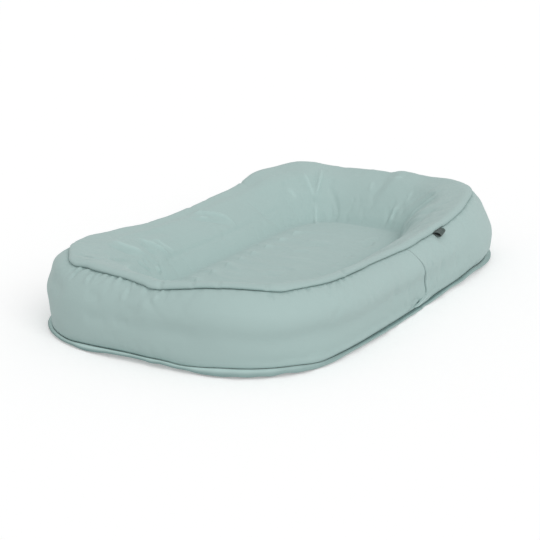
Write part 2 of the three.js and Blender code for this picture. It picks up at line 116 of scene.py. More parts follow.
def unit(vectors):
    return vectors / np.linalg.norm(vectors, axis=-1)[..., None]


def section_knots():
    """Rows of the section: inset, height, power, lift and inner share."""
    knots = []
    for up, out, drawn in WALL_SHARES:
        knots.append([TOP_INSET * drawn - BELLY * out, mix(SEAM_LOW, SEAM_TOP, up),
                      mix(LOW_POWER, SEAM_POWER, up), up, 0])
    for across, up in TOP_SHARES:
        past = max(0, (across - CROWN_SHARE) / (1 - CROWN_SHARE))
        before = min(1, across / CROWN_SHARE)
        power = mix(mix(SEAM_POWER, CROWN_POWER, before), NEST_POWER, past)
        knots.append([mix(TOP_INSET, BOLSTER, across), mix(CREASE, CROWN, up), power,
                      min(1, up), past])
    for across in FLOOR_SHARES:
        knots.append([BOLSTER + FLOOR_EDGE * across,
                      mix(CREASE, FLOOR, math.sin(across * math.pi / 2)), NEST_POWER, 0, 1])
    return np.array(knots, float)


KNOTS = section_knots()
KNOT_REACH = np.concatenate([[0], np.cumsum(np.hypot(*np.diff(KNOTS[:, :2], axis=0).T))])
SEAM = KNOT_REACH[len(WALL_SHARES) - 1]
CREASE_REACH = KNOT_REACH[len(WALL_SHARES) + len(TOP_SHARES) - 1]
FLOOR_REACH = KNOT_REACH[-1]
CASE_EDGE_REACH = np.interp(CASE_INSET, KNOTS[-5:, 0], KNOT_REACH[-5:])


def curve(places, knots, values):
    """A smooth curve through values at knots, read at places."""
    slopes = np.gradient(values, knots, axis=0)
    k = np.clip(np.searchsorted(knots, places, side="right") - 1, 0, len(knots) - 2)
    span = knots[k + 1] - knots[k]
    share = (places - knots[k]) / span
    inside = np.clip(share, 0, 1)
    a, b = inside[..., None], span[..., None]
    found = ((2 * a ** 3 - 3 * a ** 2 + 1) * values[k] + (a ** 3 - 2 * a ** 2 + a) * b * slopes[k]
             + (3 * a ** 2 - 2 * a ** 3) * values[k + 1] + (a ** 3 - a ** 2) * b * slopes[k + 1])
    beyond = (share - inside)[..., None] * b
    return found + beyond * np.where(share[..., None] < 0, slopes[k], slopes[k + 1])


def unit_plan(angle, power):
    """Points at angles on a superellipse whose half sizes are 1."""
    across, aside = np.cos(angle), np.sin(angle)
    reach = (np.abs(across) ** power + np.abs(aside) ** power) ** (-1 / power)
    return across * reach, aside * reach


def placed(angle, row):
    """Points in millimetres of section rows at angles round the cushion."""
    inset, height, power, lift, inner = np.moveaxis(row, -1, 0)
    ux, uy = unit_plan(angle, power)
    taper = mix(OUTER_TAPER, INNER_TAPER, inner)
    middle = (1 - ux * ux) ** 2
    x = (HALF_LENGTH - inset) * ux + NEST_SHIFT * inner
    y = (HALF_WIDTH - inset) * (1 + taper * ux) * uy * (1 - WAIST * middle)
    return np.stack([x, y, height - lift * SIDE_DIP * middle], -1)


def around_table():
    """Angles all the way round, and the length along the lower seam up to each."""
    angles = np.linspace(0, 2 * math.pi, 4001)
    low = placed(angles, np.broadcast_to(KNOTS[0], (len(angles), 5)))
    steps = np.linalg.norm(np.diff(low, axis=0), axis=1)
    return angles, np.concatenate([[0], np.cumsum(steps)])


ANGLE_TABLE, AROUND_TABLE = around_table()
ROUND = AROUND_TABLE[-1]


def around(angle):
    """Length along the lower seam, from the middle of the head end past the far side."""
    return np.interp(angle % (2 * math.pi), ANGLE_TABLE, AROUND_TABLE)


def angle_at(length):
    return np.interp(length % ROUND, AROUND_TABLE, ANGLE_TABLE)


def wrapped(off):
    """Differences in length along the lower seam, taken the shorter way round."""
    return (off + ROUND / 2) % ROUND - ROUND / 2


def ring_angles(fine):
    """Angles of a ring's columns: 40 times fine in all, with one at each corner."""
    corner, side = around(np.pi / 4), around(np.pi / 2)
    first = np.linspace(0, corner, 4 * fine + 1)[:-1]
    second = np.linspace(corner, side, 6 * fine + 1)
    quarter = angle_at(np.concatenate([first, second]))
    half = np.concatenate([quarter, np.pi - quarter[-2::-1]])
    return np.concatenate([half, half[1:-1] + np.pi])


# How this cushion differs from the plain form, in millimetres and degrees

# How far the top seam strays over the crown, by angle
SEAM_STRAY = [(0, 3), (40, 2), (90, 4), (130, 5), (138, 6.5), (142, 5.5), (147, 1), (150, 0),
              (155, 3.5), (159, 2), (168, 0), (174, -2), (180, -6), (184, -9.5), (187, -8),
              (192, -3), (198, 2.5), (204, 7.5), (211, 9.5), (219, 5), (222, 2.5), (226, 4.5),
              (234, 4), (243, 6), (252, 8), (261, 6.5), (270, 1.5), (276, 1.5), (288, 2.5),
              (297, 4), (306, 7), (314, 4.5), (330, 4)]
# How far the rim rises, by angle
RIM_RISE = [(0, -8.2), (5, -8.2), (12, -8.7), (20, -9.7), (28, -7.7), (35, -0.7), (40, 1.8),
            (47, -0.7), (55, -1.7), (60, -9.7), (66, -13.2), (75, -10.7), (85, -10.2),
            (95, -9.7), (105, -7.2), (115, -5.2), (125, -1), (135, 1), (145, 1), (160, 2),
            (180, 2.5), (200, 3.5), (215, 4.5), (235, 3), (270, 3), (300, 2.5), (320, 0),
            (330, -3), (342, -8), (350, -5), (355, -4)]
# How far the crown of the rim falls short of its plain height, by angle
CROWN_FALL = [(0, 0), (158, 0), (174, 5), (182, 9), (190, 11), (198, 9), (210, 7.5), (222, 10),
              (232, 9.5), (244, 9), (258, 8), (272, 7), (286, 5), (298, 2), (310, 0)]
# How far the side band leans out in its upper half and in its lower half, by angle
UPPER_LEAN = [(0, 0), (108, 0), (122, -2.5), (131, -5), (138, -6.5), (144, -5), (152, -1.5),
              (160, 0), (290, 0), (300, -3), (306, -5.5), (312, -7.5), (320, -7), (332, -4),
              (345, -1)]
LOWER_LEAN = [(0, 0), (122, 0), (132, -2), (139, -3), (146, -1.5), (156, 0), (294, 0), (303, 3),
              (310, 5), (318, 4.5), (330, 2), (345, 0)]
# How high the lower seam runs over its plain height, by angle
SEAM_LIFT = [(0, 0), (90, 0), (125, -0.5), (141, -3.2), (147, -3.9), (153, -4.4), (159, -2.1),
             (165, -0.6), (171, 0.4), (177, 0.7), (183, 0), (189, 0.3), (195, -1.4), (201, 0),
             (207, 2.3), (213, 2.5), (219, 2), (225, 0.6), (231, -3.6), (237, -2.2), (249, -2),
             (255, -3.3), (261, -4.8), (267, -5.4), (273, -5.4), (279, -2.6), (285, -1.6),
             (291, -0.1), (297, 2.6), (303, -0.4), (309, -1.3), (315, -0.8), (333, -0.3)]
# How high the binding's edge is above the floor, by angle
EDGE_HEIGHT = [(0, 2.6), (40, 2.2), (80, 3.2), (110, 2.4), (141, 4.5), (147, 4), (153, 3.2),
               (156, 3.5), (159, 2.5), (165, 3.9), (168, 5.8), (171, 6.7), (174, 7.6), (177, 8),
               (180, 8), (183, 7.6), (186, 6), (189, 7.4), (192, 6.6), (195, 5.8), (198, 5.7),
               (201, 4.6), (204, 3.7), (207, 3.7), (210, 4.2), (213, 4), (216, 4.8), (219, 4.5),
               (222, 6), (225, 3.8), (228, 2.9), (234, 3.3), (237, 5.1), (240, 5.6), (243, 5.3),
               (246, 5.6), (249, 5.6), (252, 5), (255, 4), (258, 2.4), (264, 2.1), (267, 1.8),
               (273, 1.3), (276, 2.8), (279, 5.2), (282, 5.1), (285, 5.9), (288, 6), (291, 7.2),
               (294, 9.2), (297, 9.6), (300, 8), (303, 7), (306, 6.2), (312, 6.4), (318, 6.2),
               (330, 4)]
# How far the binding stands out, as a share of its full reach, by angle
REACH_SHARE = [(0, 0.95), (60, 1), (110, 1), (132, 0.9), (141, 0.74), (153, 0.84), (159, 0.95),
               (171, 0.95), (183, 0.89), (195, 0.95), (231, 0.95), (237, 0.78), (243, 0.62),
               (249, 0.88), (255, 0.86), (261, 0.72), (267, 0.9), (273, 0.62), (279, 0.93),
               (285, 0.62), (291, 0.9), (298, 0.95), (306, 1.25), (318, 1.2), (330, 0.98)]


def by_angle(table, angle):
    """Reads a table of (degrees, value) all the way round, smoothly."""
    degrees, values = np.array(table, float).T
    degrees = np.concatenate([degrees - 360, degrees, degrees + 360])
    values = np.tile(values, 3)
    at = np.degrees(angle) % 360
    return curve(at, degrees, values[:, None])[..., 0]


# Folds in the cloth: width, height, and the degrees and reach of the places that each runs through
FOLDS = [
    (1.6, -2.2, [(143.5, 119), (145.3, 126), (146.5, 134), (148, 142), (148.5, 150)]),
    (15, 4.6, [(130, 90), (137, 94), (144, 95), (152, 88)]),
    (4.2, 6.2, [(88, 133.6), (85.5, 147.7), (82.5, 161.4), (80, 178.9), (78.7, 196.1),
        (77.9, 214.7), (77.7, 227.1)]),
    (5, -4.6, [(91.5, 153.5), (88.2, 168.9), (84.6, 186), (82, 204.5), (80.8, 223.4)]),
    (3, 2.2, [(87.4, 160), (84.1, 175.1)]),
    (3.8, 5.1, [(118, 161.2), (117.2, 182.1), (116.7, 200.6), (116, 216.5), (115.5, 229.6)]),
    (3.4, 4.1, [(113.9, 178.1), (113.3, 196.1), (113.1, 212.2), (112.5, 227.2)]),
    (4.2, -4.3, [(120.5, 179.6), (120.3, 201.1), (120.3, 215.4), (121.2, 229.4)]),
    (3, -3, [(113.4, 190.7), (113, 207.8), (112.8, 224)]),
    (4.8, 3.2, [(127.5, 146.7), (126.9, 170.8), (125.2, 194.5), (124.3, 215.8)]),
    (6, -4.1, [(131.8, 147.7), (131, 173.4), (128.7, 197.1), (127.2, 213)]),
    (11, -2.6, [(126.5, 142.6), (120.9, 157.5), (112.9, 163.5), (104.5, 167.2), (98.4, 169.8)]),
    (2.4, -3.2, [(140.5, 110.7), (144.8, 127.2), (147.6, 140), (148.2, 152.9)]),
    (2.6, -2.2, [(148.1, 145.6), (147.4, 163), (139, 191.7), (132.6, 213.9)]),
    (5, 1.8, [(146.1, 117.3), (150, 127.5), (154.6, 128.7)]),
    (2.8, -4.1, [(131.2, 209.3), (131.5, 222.2), (131.1, 234), (129.5, 247.7)]),
    (2.4, -2.7, [(128.1, 213.6), (128.4, 224.6), (129, 235)]),
    (2.8, 5.1, [(125.6, 234.1), (126.1, 243), (127.3, 252.4)]),
    (2.4, -3.5, [(123.8, 236.4), (125, 246.5), (126.6, 255.3)]),
    (3.6, 2.2, [(164.6, 134.9), (159.7, 166.7), (133.4, 219.6)]),
    (4, 1.8, [(47.9, 184), (46.6, 205), (45.6, 225.4)]),
    (4.2, -1.4, [(42.8, 166.3), (42, 191.6), (40.9, 214.6)]),
    (2.8, 4.2, [(31.6, 137), (32.6, 167), (34.6, 198.4), (36.3, 220.4), (37.5, 237.4)]),
    (3.4, 4.8, [(37.3, 231.1), (37.9, 255.9), (40.1, 299.7)]),
    (3.4, 2.6, [(39.5, 153.5), (39, 183.3), (38.3, 208.8), (37.5, 233.1)]),
    (2.6, -2.2, [(33.7, 148.1), (35.4, 182.9), (36.9, 206.5)]),
    (2.4, -1.2, [(39.2, 236.9), (39.8, 257.1), (40.4, 276.9)]),
    (3, -2.4, [(30.3, 127.7), (30.1, 157)]),
    (3.4, 1.6, [(6.1, 156.2), (5.5, 175), (4.8, 192.6)]),
    (4.2, -1.6, [(4, 200.4), (2.4, 224.4), (359.5, 247.8)]),
    (2.2, -1.2, [(14.6, 211.9), (13.4, 226.7)]),
    (4, -1, [(347.5, 220.3), (344.1, 243.6), (340.6, 264.9)]),
    (2.8, 2.3, [(341.7, 215.5), (340.7, 234.2), (339.8, 248.7), (338.5, 266.1)]),
    (2.6, -1.4, [(338.6, 233.1), (337.3, 252.4)]),
    (3.6, 1.8, [(340.2, 165.9), (338.2, 194.4), (336.7, 218.3)]),
    (3, -1.4, [(336.5, 212.3), (334.8, 228.4), (332.4, 242.1)]),
    (3.6, 3, [(320.1, 160.8), (322.1, 189.6), (324, 213.1), (324.8, 232.9), (324.2, 251.9)]),
    (8, -1.6, [(0.7, 128.4), (357.6, 158.1)]),
    (8, 1.8, [(355.3, 125.2), (351.8, 152.5)]),
    (34, 12, [(304, 168), (308, 205), (314, 245), (318, 280)]),
    (8, -1.6, [(160.1, 80.9), (164.2, 79.2), (167.2, 79.3)]),
    (9, -1.5, [(160.2, 43.7), (165.4, 46.3), (169.8, 47.4)]),
    (6, -1.5, [(171.3, 44.4), (174.3, 50.5), (177.7, 52.9)]),
    (10, -1.3, [(178.8, 80.7), (179.8, 63.7)]),
    (13, -1.3, [(184, 53.4), (188.3, 57.4), (192.2, 52.1), (201.6, 51.4)]),
    (8, 1.4, [(182.2, 97.7), (183.1, 78.2)]),
    (5.5, -2.4, [(175.2, 85), (176.1, 97.3), (176.8, 108.6)]),
    (4.2, 1.8, [(173.8, 78.9), (174.9, 92), (175.4, 103.4)]),
    (4.2, 2.4, [(185.5, 92), (186.4, 102), (187, 112)]),
    (4, -1.8, [(187.4, 96.9), (188.1, 106.2)]),
    (3.4, -2.8, [(153.3, 91.5), (152.9, 99.7), (152.3, 108.2)]),
    (3.2, 2.2, [(158.7, 91.1), (158.9, 99.5), (158.9, 106.5)]),
    (3, -2, [(160.2, 93), (160.4, 99.6), (160.5, 106.6)]),
    (15, -3, [(143.1, 84.5), (147.9, 74.4), (151.5, 59.8)]),
    (3.2, -2.4, [(219, 115), (219.7, 108.6), (220.4, 103.1)]),
    (3.2, 2, [(221, 110.6), (222.2, 108.3), (223.9, 111.3)]),
    (3, -1.6, [(234.5, 114), (233.8, 104.6), (233.5, 96.3)]),
    (3, -1.6, [(236.9, 115.2), (235.9, 105.5), (235.5, 98.6)]),
    (5, -2, [(273, 76.9), (272.6, 64.5), (273.2, 48.5)]),
    (9, -1.8, [(279.7, 70.7), (280.8, 40), (280, 15.2)]),
    (8, 1.4, [(276.2, 82.7), (274.9, 66.6)]),
    (9, -1.4, [(257.1, 80.5), (256.5, 57), (259.2, 29.1)]),
    (9, -1.4, [(287.4, 51.4), (288.9, 25.4)]),
    (8, 1.2, [(284.8, 81.3), (285.2, 56.9)]),
    (7, 1.8, [(278.8, 103.7), (280.7, 94.3), (282.3, 77.9)]),
]
# Creases in the floor of the nest: width, height, and the points that each runs through
FLOOR_FOLDS = [
    (6, -1.9, [(-79, 0), (-81, -25), (-68, -36)]),
    (6, 1.6, [(-62, 10), (-61, -15), (-48, -31)]),
    (5, -1.6, [(-31, -3), (-34, -22), (-39, -41)]),
    (5, -1.4, [(-115, 57), (-123, 37), (-125, 18)]),
    (6, 1.4, [(-97, 59), (-103, 36), (-99, 18)]),
    (6, 1.6, [(-93, -49), (-104, -68), (-105, -82)]),
    (6, 1.6, [(58, 29), (71, 12), (88, -5)]),
    (7, 1.4, [(24, 13), (29, -12), (35, -36)]),
    (6, 1.6, [(116, 29), (132, 18), (139, -3), (141, -26)]),
    (6, -1.4, [(96, 26), (114, 8), (120, -21)]),
    (7, -1.7, [(143, -69), (163, -77), (187, -80)]),
    (7, 1.4, [(161, -48), (189, -57), (225, -67)]),
    (7, -1.2, [(85, -62), (87, -76), (102, -84)]),
    (7, 1.2, [(-47, 78), (-77, 48), (-91, 15), (-88, -2)]),
    (6, -1.2, [(-64, 60), (-82, 33), (-84, 8)]),
    (6, -1.2, [(17, -69), (29, -78), (36, -91)]),
    (7, 1.2, [(64, -80), (63, -102), (66, -120)]),
]
# Puffs between the pulls along the floor's far edge
for place in (-158, -107, -60, -20, 20, 68, 118, 170):
    FLOOR_FOLDS.append((9, 2.3, [(place + 8, 106), (place + 2, 88), (place - 8, 64)]))


def along_path(points, path):
    """Distance of points to a path, and the share of the path that each lies beside."""
    path = np.array(path, float)
    steps = np.diff(path, axis=0)
    lengths = np.linalg.norm(steps, axis=1)
    start = np.concatenate([[0], np.cumsum(lengths)])
    best = np.full(points.shape[:-1], 1e9)
    share = np.zeros(points.shape[:-1])
    for corner, step, length, before in zip(path, steps, lengths, start):
        off = points - corner
        along = np.clip(off @ step / length ** 2, 0, 1)
        away = np.linalg.norm(off - along[..., None] * step, axis=-1)
        nearer = away < best
        best = np.where(nearer, away, best)
        share = np.where(nearer, (before + along * length) / start[-1], share)
    return best, share


def fold_height(points, folds, fade=0.3):
    """Height of folds at points: each fold fades out over the given share of its ends."""
    total = np.zeros(points.shape[:-1])
    for width, height, path in folds:
        path = np.array(path, float)
        low, high = path.min(0) - 4 * width, path.max(0) + 4 * width
        near = np.all((points > low) & (points < high), axis=-1)
        if not near.any():
            continue
        away, share = along_path(points[near], path)
        ends = smooth(share / fade) * smooth((1 - share) / fade)
        total[near] += height * bell(away, width) * ends
    return total


# Gathers: short creases that run away from a seam. Each zone has its degrees, count, height and
# slant.
GATHER_ZONES = [
    ((146, 172), 21, 2.5, -0.55),
    ((176, 190), 8, 1.9, -0.2),
    ((190, 222), 7, 0.6, 0.2),
    ((223, 231), 6, 1.8, 0.2),
    ((233, 243), 7, 1.7, 0.25),
    ((244, 268), 6, 0.6, 0.3),
    ((282, 330), 12, 0.7, 0.3),
    ((330, 385), 12, 0.8, 0.2),
    ((25, 70), 14, 1.1, 0.3),
    ((70, 120), 10, 0.6, 0.3),
    ((120, 146), 8, 1.1, 0.2),
]


def gathers(seed):
    """Creases under the top seam: place round the seam, slant, width, length and height."""
    draw = np.random.default_rng(seed)
    rows = []
    for (start, end), count, height, slant in GATHER_ZONES:
        first, last = around(math.radians(start)), around(math.radians(end))
        if last < first:
            last += ROUND
        steps = np.linspace(first, last, count, endpoint=False)
        steps = steps + draw.uniform(0, (last - first) / count, count)
        for place in steps:
            rows.append([place % ROUND, slant + draw.uniform(-0.3, 0.3), draw.uniform(2.2, 4.0),
                         draw.uniform(14, 32), height * draw.uniform(0.5, 1.2)])
    return np.array(rows)


GATHERS = gathers(7)


def gather_height(length, below):
    """Height of the gathers at a length round the seam and a distance below it."""
    total = np.zeros(length.shape)
    for place, slant, width, run, height in GATHERS:
        off = wrapped(length - place - slant * below)
        near = (np.abs(off) < 4 * width) & (below > -1) & (below < run)
        spread = width * (1 + below[near] / run)
        fade = smooth(below[near] / 2.5 + 0.2) * smooth(1 - below[near] / run)
        total[near] += height * fade * (bell(off[near], spread) - 0.35)
    return total


def waves(seed, count, shortest, longest):
    """Plane waves with random headings, for soft unevenness."""
    draw = np.random.default_rng(seed)
    heading = unit(draw.normal(size=(count, 3)))
    length = draw.uniform(shortest, longest, count)
    phase = draw.uniform(0, 2 * math.pi, count)
    return heading * (2 * math.pi / length)[:, None], phase


SOFT_WAVES = waves(11, 26, 70, 190)
SMALL_WAVES = waves(12, 40, 18, 46)


def wave_height(points, table):
    """The sum of plane waves at points, about 1 in size however many there are."""
    heading, phase = table
    total = np.zeros(points.shape[:-1])
    for direction, start in zip(heading, phase):
        total += np.sin(points @ direction + start)
    return total / math.sqrt(len(phase))


# The upright join in the near side band wanders like this: height and distance along the side
JOIN_PATH = np.array([(0, -16), (8, -14), (10, -6), (12, 10), (14, 22), (17, 30), (22, 29),
                      (29, 26.5), (45, 19), (65, 8), (80, -1), (92, -8), (120, -14)], float)
JOIN_LINE = np.column_stack([JOIN_PATH[-2:0:-1, ::-1], np.zeros(len(JOIN_PATH) - 2)])
# The pocket where the join meets the lower seam: its middle, and its half length and height
POCKET, POCKET_SIZE = (-9, 12.5), (8, 4.4)
NEAR_SIDE, BESIDE_JOIN = -200, 90


def join_shift(height):
    return np.interp(height, JOIN_PATH[:, 0], JOIN_PATH[:, 1])


def beside_join(points, reach):
    """Which points are near the join, how far from and down it, and how deep in its pocket."""
    x, y, z = points[..., 0], points[..., 1], points[..., 2]
    near = (y < NEAR_SIDE) & (np.abs(x) < BESIDE_JOIN) & (reach < SEAM)
    away, share = along_path(points[..., [0, 2, 1]] * [1, 1, 0], JOIN_LINE)
    pocket = np.exp(-(((x - POCKET[0]) / POCKET_SIZE[0]) ** 2
                      + ((z - POCKET[1]) / POCKET_SIZE[1]) ** 2))
    return near, np.where(x > join_shift(z), away, -away), share, pocket


# The cloth simulation: its grid, its frames, and how its cloth behaves
SIM_COLUMNS, SIM_SPACING, SIM_FRAMES, FULL_LEVELS = 420, 5.4, 20, 20
CLOTH_SETTINGS = {
    "quality": 5, "mass": 0.2, "tension_stiffness": 18, "compression_stiffness": 18,
    "shear_stiffness": 9, "bending_stiffness": 0.35, "air_damping": 2,
    "vertex_group_mass": "held", "vertex_group_shrink": "full", "pin_stiffness": 1.0,
    "shrink_min": -0.003, "shrink_max": -0.06, "use_pressure": True,
    "uniform_pressure_force": 4,
}
# Filled in by simulate_cover: where its rows and columns are, and how far each point moved
SETTLED = {}


def form_faces(rows, columns):
    """Faces of the simulated form: a grid that wraps round, with a fan over each end."""
    count = rows * columns
    j = np.arange(columns)
    k = (j + 1) % columns
    top = count - columns
    fans = [np.stack([k, j, np.full(columns, count)], -1),
            np.stack([top + j, top + k, np.full(columns, count + 1)], -1)]
    return sum((fan.tolist() for fan in fans), grid_faces(rows, columns, True).tolist())


def hold_cloth(form, rows, index, share):
    """Pins the form's seams and says how much larger its cloth is cut at each point."""
    seam_row = int(np.argmin(np.abs(rows - SEAM)))
    crease_row = int(np.argmin(np.abs(rows - CREASE_REACH)))
    held = form.vertex_groups.new(name="held")
    held.add([*index[0].tolist(), *index[seam_row].tolist(), *index[-1].tolist(), index.size,
              index.size + 1], 1.0, "REPLACE")
    held.add(index[crease_row].tolist(), 0.5, "REPLACE")
    full = form.vertex_groups.new(name="full")
    for level in range(1, FULL_LEVELS + 1):
        chosen = np.nonzero(np.round(share.ravel() * FULL_LEVELS) == level)[0].tolist()
        if chosen:
            full.add(chosen, level / FULL_LEVELS, "REPLACE")


def simulate_cover():
    """Lets the cover, cut a little too large, fill out under the filling's pressure."""
    if SETTLED:
        return
    length = np.arange(SIM_COLUMNS) * ROUND / SIM_COLUMNS
    rows = np.linspace(0, FLOOR_REACH, round(FLOOR_REACH / SIM_SPACING) + 1)
    rows[int(np.argmin(np.abs(rows - SEAM)))] = SEAM
    points, out = dressed_cover(*np.meshgrid(angle_at(length), rows), folds=False)
    index = np.arange(points[..., 0].size).reshape(len(rows), SIM_COLUMNS)
    ends = [(0, 0, SEAM_LOW), (NEST_SHIFT, 0, FLOOR)]
    mesh = bpy.data.meshes.new("cover_form")
    mesh.from_pydata((np.concatenate([points.reshape(-1, 3), ends]) * MM).tolist(), [],
                     form_faces(len(rows), SIM_COLUMNS))
    form = linked("cover_form", mesh)
    hold_cloth(form, rows, index, fullness(angle_at(length)[None], rows[:, None]))
    settings = form.modifiers.new("cloth", "CLOTH").settings
    for name, value in CLOTH_SETTINGS.items():
        setattr(settings, name, value)
    settings.effector_weights.gravity = 0
    scene = bpy.context.scene
    for step in range(1, SIM_FRAMES + 1):
        scene.frame_set(step)
    seen = form.evaluated_get(bpy.context.evaluated_depsgraph_get())
    found = np.zeros((index.size + len(ends)) * 3)
    seen.data.vertices.foreach_get("co", found)
    moved = found.reshape(-1, 3)[:index.size].reshape(points.shape) / MM - points
    scene.frame_set(1)
    bpy.data.objects.remove(form)
    bpy.data.meshes.remove(mesh)
    SETTLED.update(reach=rows, around=length,
                   moves=creases_of(moved, out, ROUND / SIM_COLUMNS))


# How full the cloth is cut, by angle: under the lip, and on the wall of the nest
LIP_FULLNESS = [(0, 0.3), (25, 0.4), (45, 0.6), (70, 0.3), (120, 0.3), (145, 0.7), (152, 1),
                (170, 0.9), (176, 0.4), (182, 0.6), (190, 0.4), (200, 0.15), (222, 0.2),
                (228, 0.6), (240, 0.6), (246, 0.25), (265, 0.1), (290, 0.15), (300, 0.3),
                (330, 0.5), (345, 0.3)]
WALL_FULLNESS = [(0, 0.35), (20, 0.3), (35, 0.45), (45, 0.5), (60, 0.3), (80, 0.35), (110, 0.55),
                 (130, 0.85), (140, 0.7), (160, 0.3), (180, 0.25), (200, 0.3), (220, 0.7),
                 (235, 0.4), (260, 0.2), (290, 0.2), (310, 0.35), (325, 0.5), (345, 0.45)]


def fullness(angle, reach):
    """How full the cloth is cut at places on the cover, from 0, taut, to 1."""
    band = by_angle(LIP_FULLNESS, angle) * smooth((reach - SEAM + 48) / 34)
    wall = by_angle(WALL_FULLNESS, angle) * smooth((reach - SEAM - 15) / 90)
    edge = smooth((FLOOR_REACH - reach) / 24)
    return np.clip(np.where(reach < SEAM, band + 0.04, wall * edge + 0.04), 0, 1)


# Creases wider than about CREASE_WIDTH are left out, and none is higher than CREASE_CAP
CREASE_WIDTH, CREASE_WINDOW = 42, 120
CREASE_CAP = 3.4
CREASE_GAIN = 0.75


def creases_of(moved, out, step):
    """Keeps the creases of a simulated move, without the change in the whole form."""
    along = (moved * out).sum(-1)
    reach = int(CREASE_WINDOW / step)
    weights = bell(np.arange(-reach, reach + 1) * step, CREASE_WIDTH)
    weights /= weights.sum()
    smooth_part = sum(w * np.roll(along, i - reach, 1) for i, w in enumerate(weights))
    height = along - smooth_part
    height = CREASE_CAP * np.tanh(CREASE_GAIN * height / CREASE_CAP)
    return out * height[..., None]


def settled(angle, reach):
    """How far the simulation moved the cloth, in millimetres, at places on the cover."""
    if not SETTLED:
        return 0.0
    table, columns, rows = SETTLED["moves"], SETTLED["around"], SETTLED["reach"]
    count = len(columns)
    at = np.interp(around(angle), np.append(columns, ROUND), np.arange(count + 1))
    row = np.interp(reach, rows, np.arange(len(rows)))
    i, j = np.floor(row).astype(int), np.floor(at).astype(int)
    fi, fj = row - i, at - j
    total = 0
    for di in range(-1, 3):
        for dj in range(-1, 3):
            weight = cubic(fi - di) * cubic(fj - dj)
            found = table[np.clip(i + di, 0, len(rows) - 1), (j + dj) % count]
            total = total + weight[..., None] * found
    return total


def cubic(x):
    """Weight of a neighbour x steps away in a smooth curve through points."""
    x = np.abs(x)
    return np.where(x < 1, 1.5 * x ** 3 - 2.5 * x ** 2 + 1,
                    np.where(x < 2, -0.5 * x ** 3 + 2.5 * x ** 2 - 4 * x + 2, 0))


def strayed(angle, reach):
    """Where on the section a reach up the cloth lies, as the top seam strays."""
    stray = by_angle(SEAM_STRAY, angle)
    low = reach * (SEAM + stray) / SEAM
    high = SEAM + stray + (reach - SEAM) * (CREASE_REACH - SEAM - stray) / (CREASE_REACH - SEAM)
    return np.where(reach < SEAM, low, np.where(reach < CREASE_REACH, high, reach))


def plain_point(a, r):
    """A point of the undressed cover: the section's, moved as this cushion differs from it."""
    row = curve(strayed(a, r), KNOT_REACH, KNOTS)
    # The upper lean begins 42 mm up the band, and is gone 50 mm past the top seam
    upper = smooth((r - 42) / 38) * (1 - 0.45 * smooth((r - 95) / 25)
                                     - 0.55 * smooth((r - SEAM - 5) / 45))
    row[..., 0] -= by_angle(UPPER_LEAN, a) * upper
    row[..., 0] -= by_angle(LOWER_LEAN, a) * smooth(r / 14) * smooth((64 - r) / 32)
    found = placed(a, row)
    behind = smooth((r - SEAM - 8) / 30) * smooth((CREASE_REACH - r) / 90)
    found[..., 2] -= by_angle(CROWN_FALL, a) * behind
    share = smooth((r - 0.35 * SEAM) / (0.75 * SEAM)) * smooth((CREASE_REACH - r) / 130)
    found[..., 2] += by_angle(RIM_RISE, a) * share
    found[..., 2] += by_angle(SEAM_LIFT, a) * smooth(1 - r / 45)
    return found


def plain_cover(angle, reach):
    """The undressed cover at angles and reaches up the section, with its outward direction."""
    sideways = plain_point(angle + TURN_STEP, reach) - plain_point(angle - TURN_STEP, reach)
    upward = plain_point(angle, reach + CLIMB_STEP) - plain_point(angle, reach - CLIMB_STEP)
    return plain_point(angle, reach), unit(np.cross(sideways, upward))


def laid(path):
    """A fold's path, from degrees and reach to close points on the plain cover."""
    at = np.linspace(0, len(path) - 1, 8 * len(path))
    degrees, reach = curve(at, np.arange(len(path)), np.array(path)).T
    return plain_cover(np.radians(degrees), reach)[0]


LAID_FOLDS = [(width, height, laid(path)) for width, height, path in FOLDS]
# How far the cloth dips along the lower seam and on both sides of the top seam, and how widely
LOW_DIP, LOW_DIP_WIDTH = 1.8, 4.0
TOP_DIP, TOP_DIP_WIDTH = 1.6, 4.5
# How uneven the cloth is, in large and in small waves
SOFT_HEIGHT, SMALL_HEIGHT = 0.75, 0.16


def dressed_cover(angle, reach, folds=True):
    """The cover with its folds and unevenness: points, and the outward direction at each."""
    angle, reach = np.broadcast_arrays(angle, reach)
    here, out = plain_cover(angle, reach)
    length = around(angle)
    on_wall = reach < SEAM
    calm = smooth((CREASE_REACH + 20 - reach) / 60)
    soft, small = wave_height(here, SOFT_WAVES), wave_height(here, SMALL_WAVES)
    height = SOFT_HEIGHT * soft * smooth(reach / 30) * mix(0.35, 1, calm)
    height += SMALL_HEIGHT * small * smooth(reach / 15) * mix(0.6, 1, calm)
    below = SEAM - reach
    height -= LOW_DIP * np.exp(-np.maximum(reach, 0) / LOW_DIP_WIDTH) * on_wall
    height -= TOP_DIP * np.exp(-np.maximum(below, 0) / TOP_DIP_WIDTH) * on_wall
    height -= TOP_DIP * np.exp(np.minimum(below, 0) / TOP_DIP_WIDTH) * ~on_wall
    if folds:
        height += gather_height(length, below)
        height += 0.45 * gather_height(length, 0.8 * (reach - SEAM) - 4)
        height += fold_height(here, LAID_FOLDS)
        height += floor_creases(here) * smooth((reach - CREASE_REACH + 8) / 8)
        height += join_height(here, reach)
    return here + out * height[..., None] + settled(angle, reach), out


def floor_creases(points):
    """Height of the floor's creases and puffs, as seen from above."""
    folds = [(width, height, [(x, y, 0) for x, y in path]) for width, height, path in FLOOR_FOLDS]
    return fold_height(points * [1, 1, 0], folds)


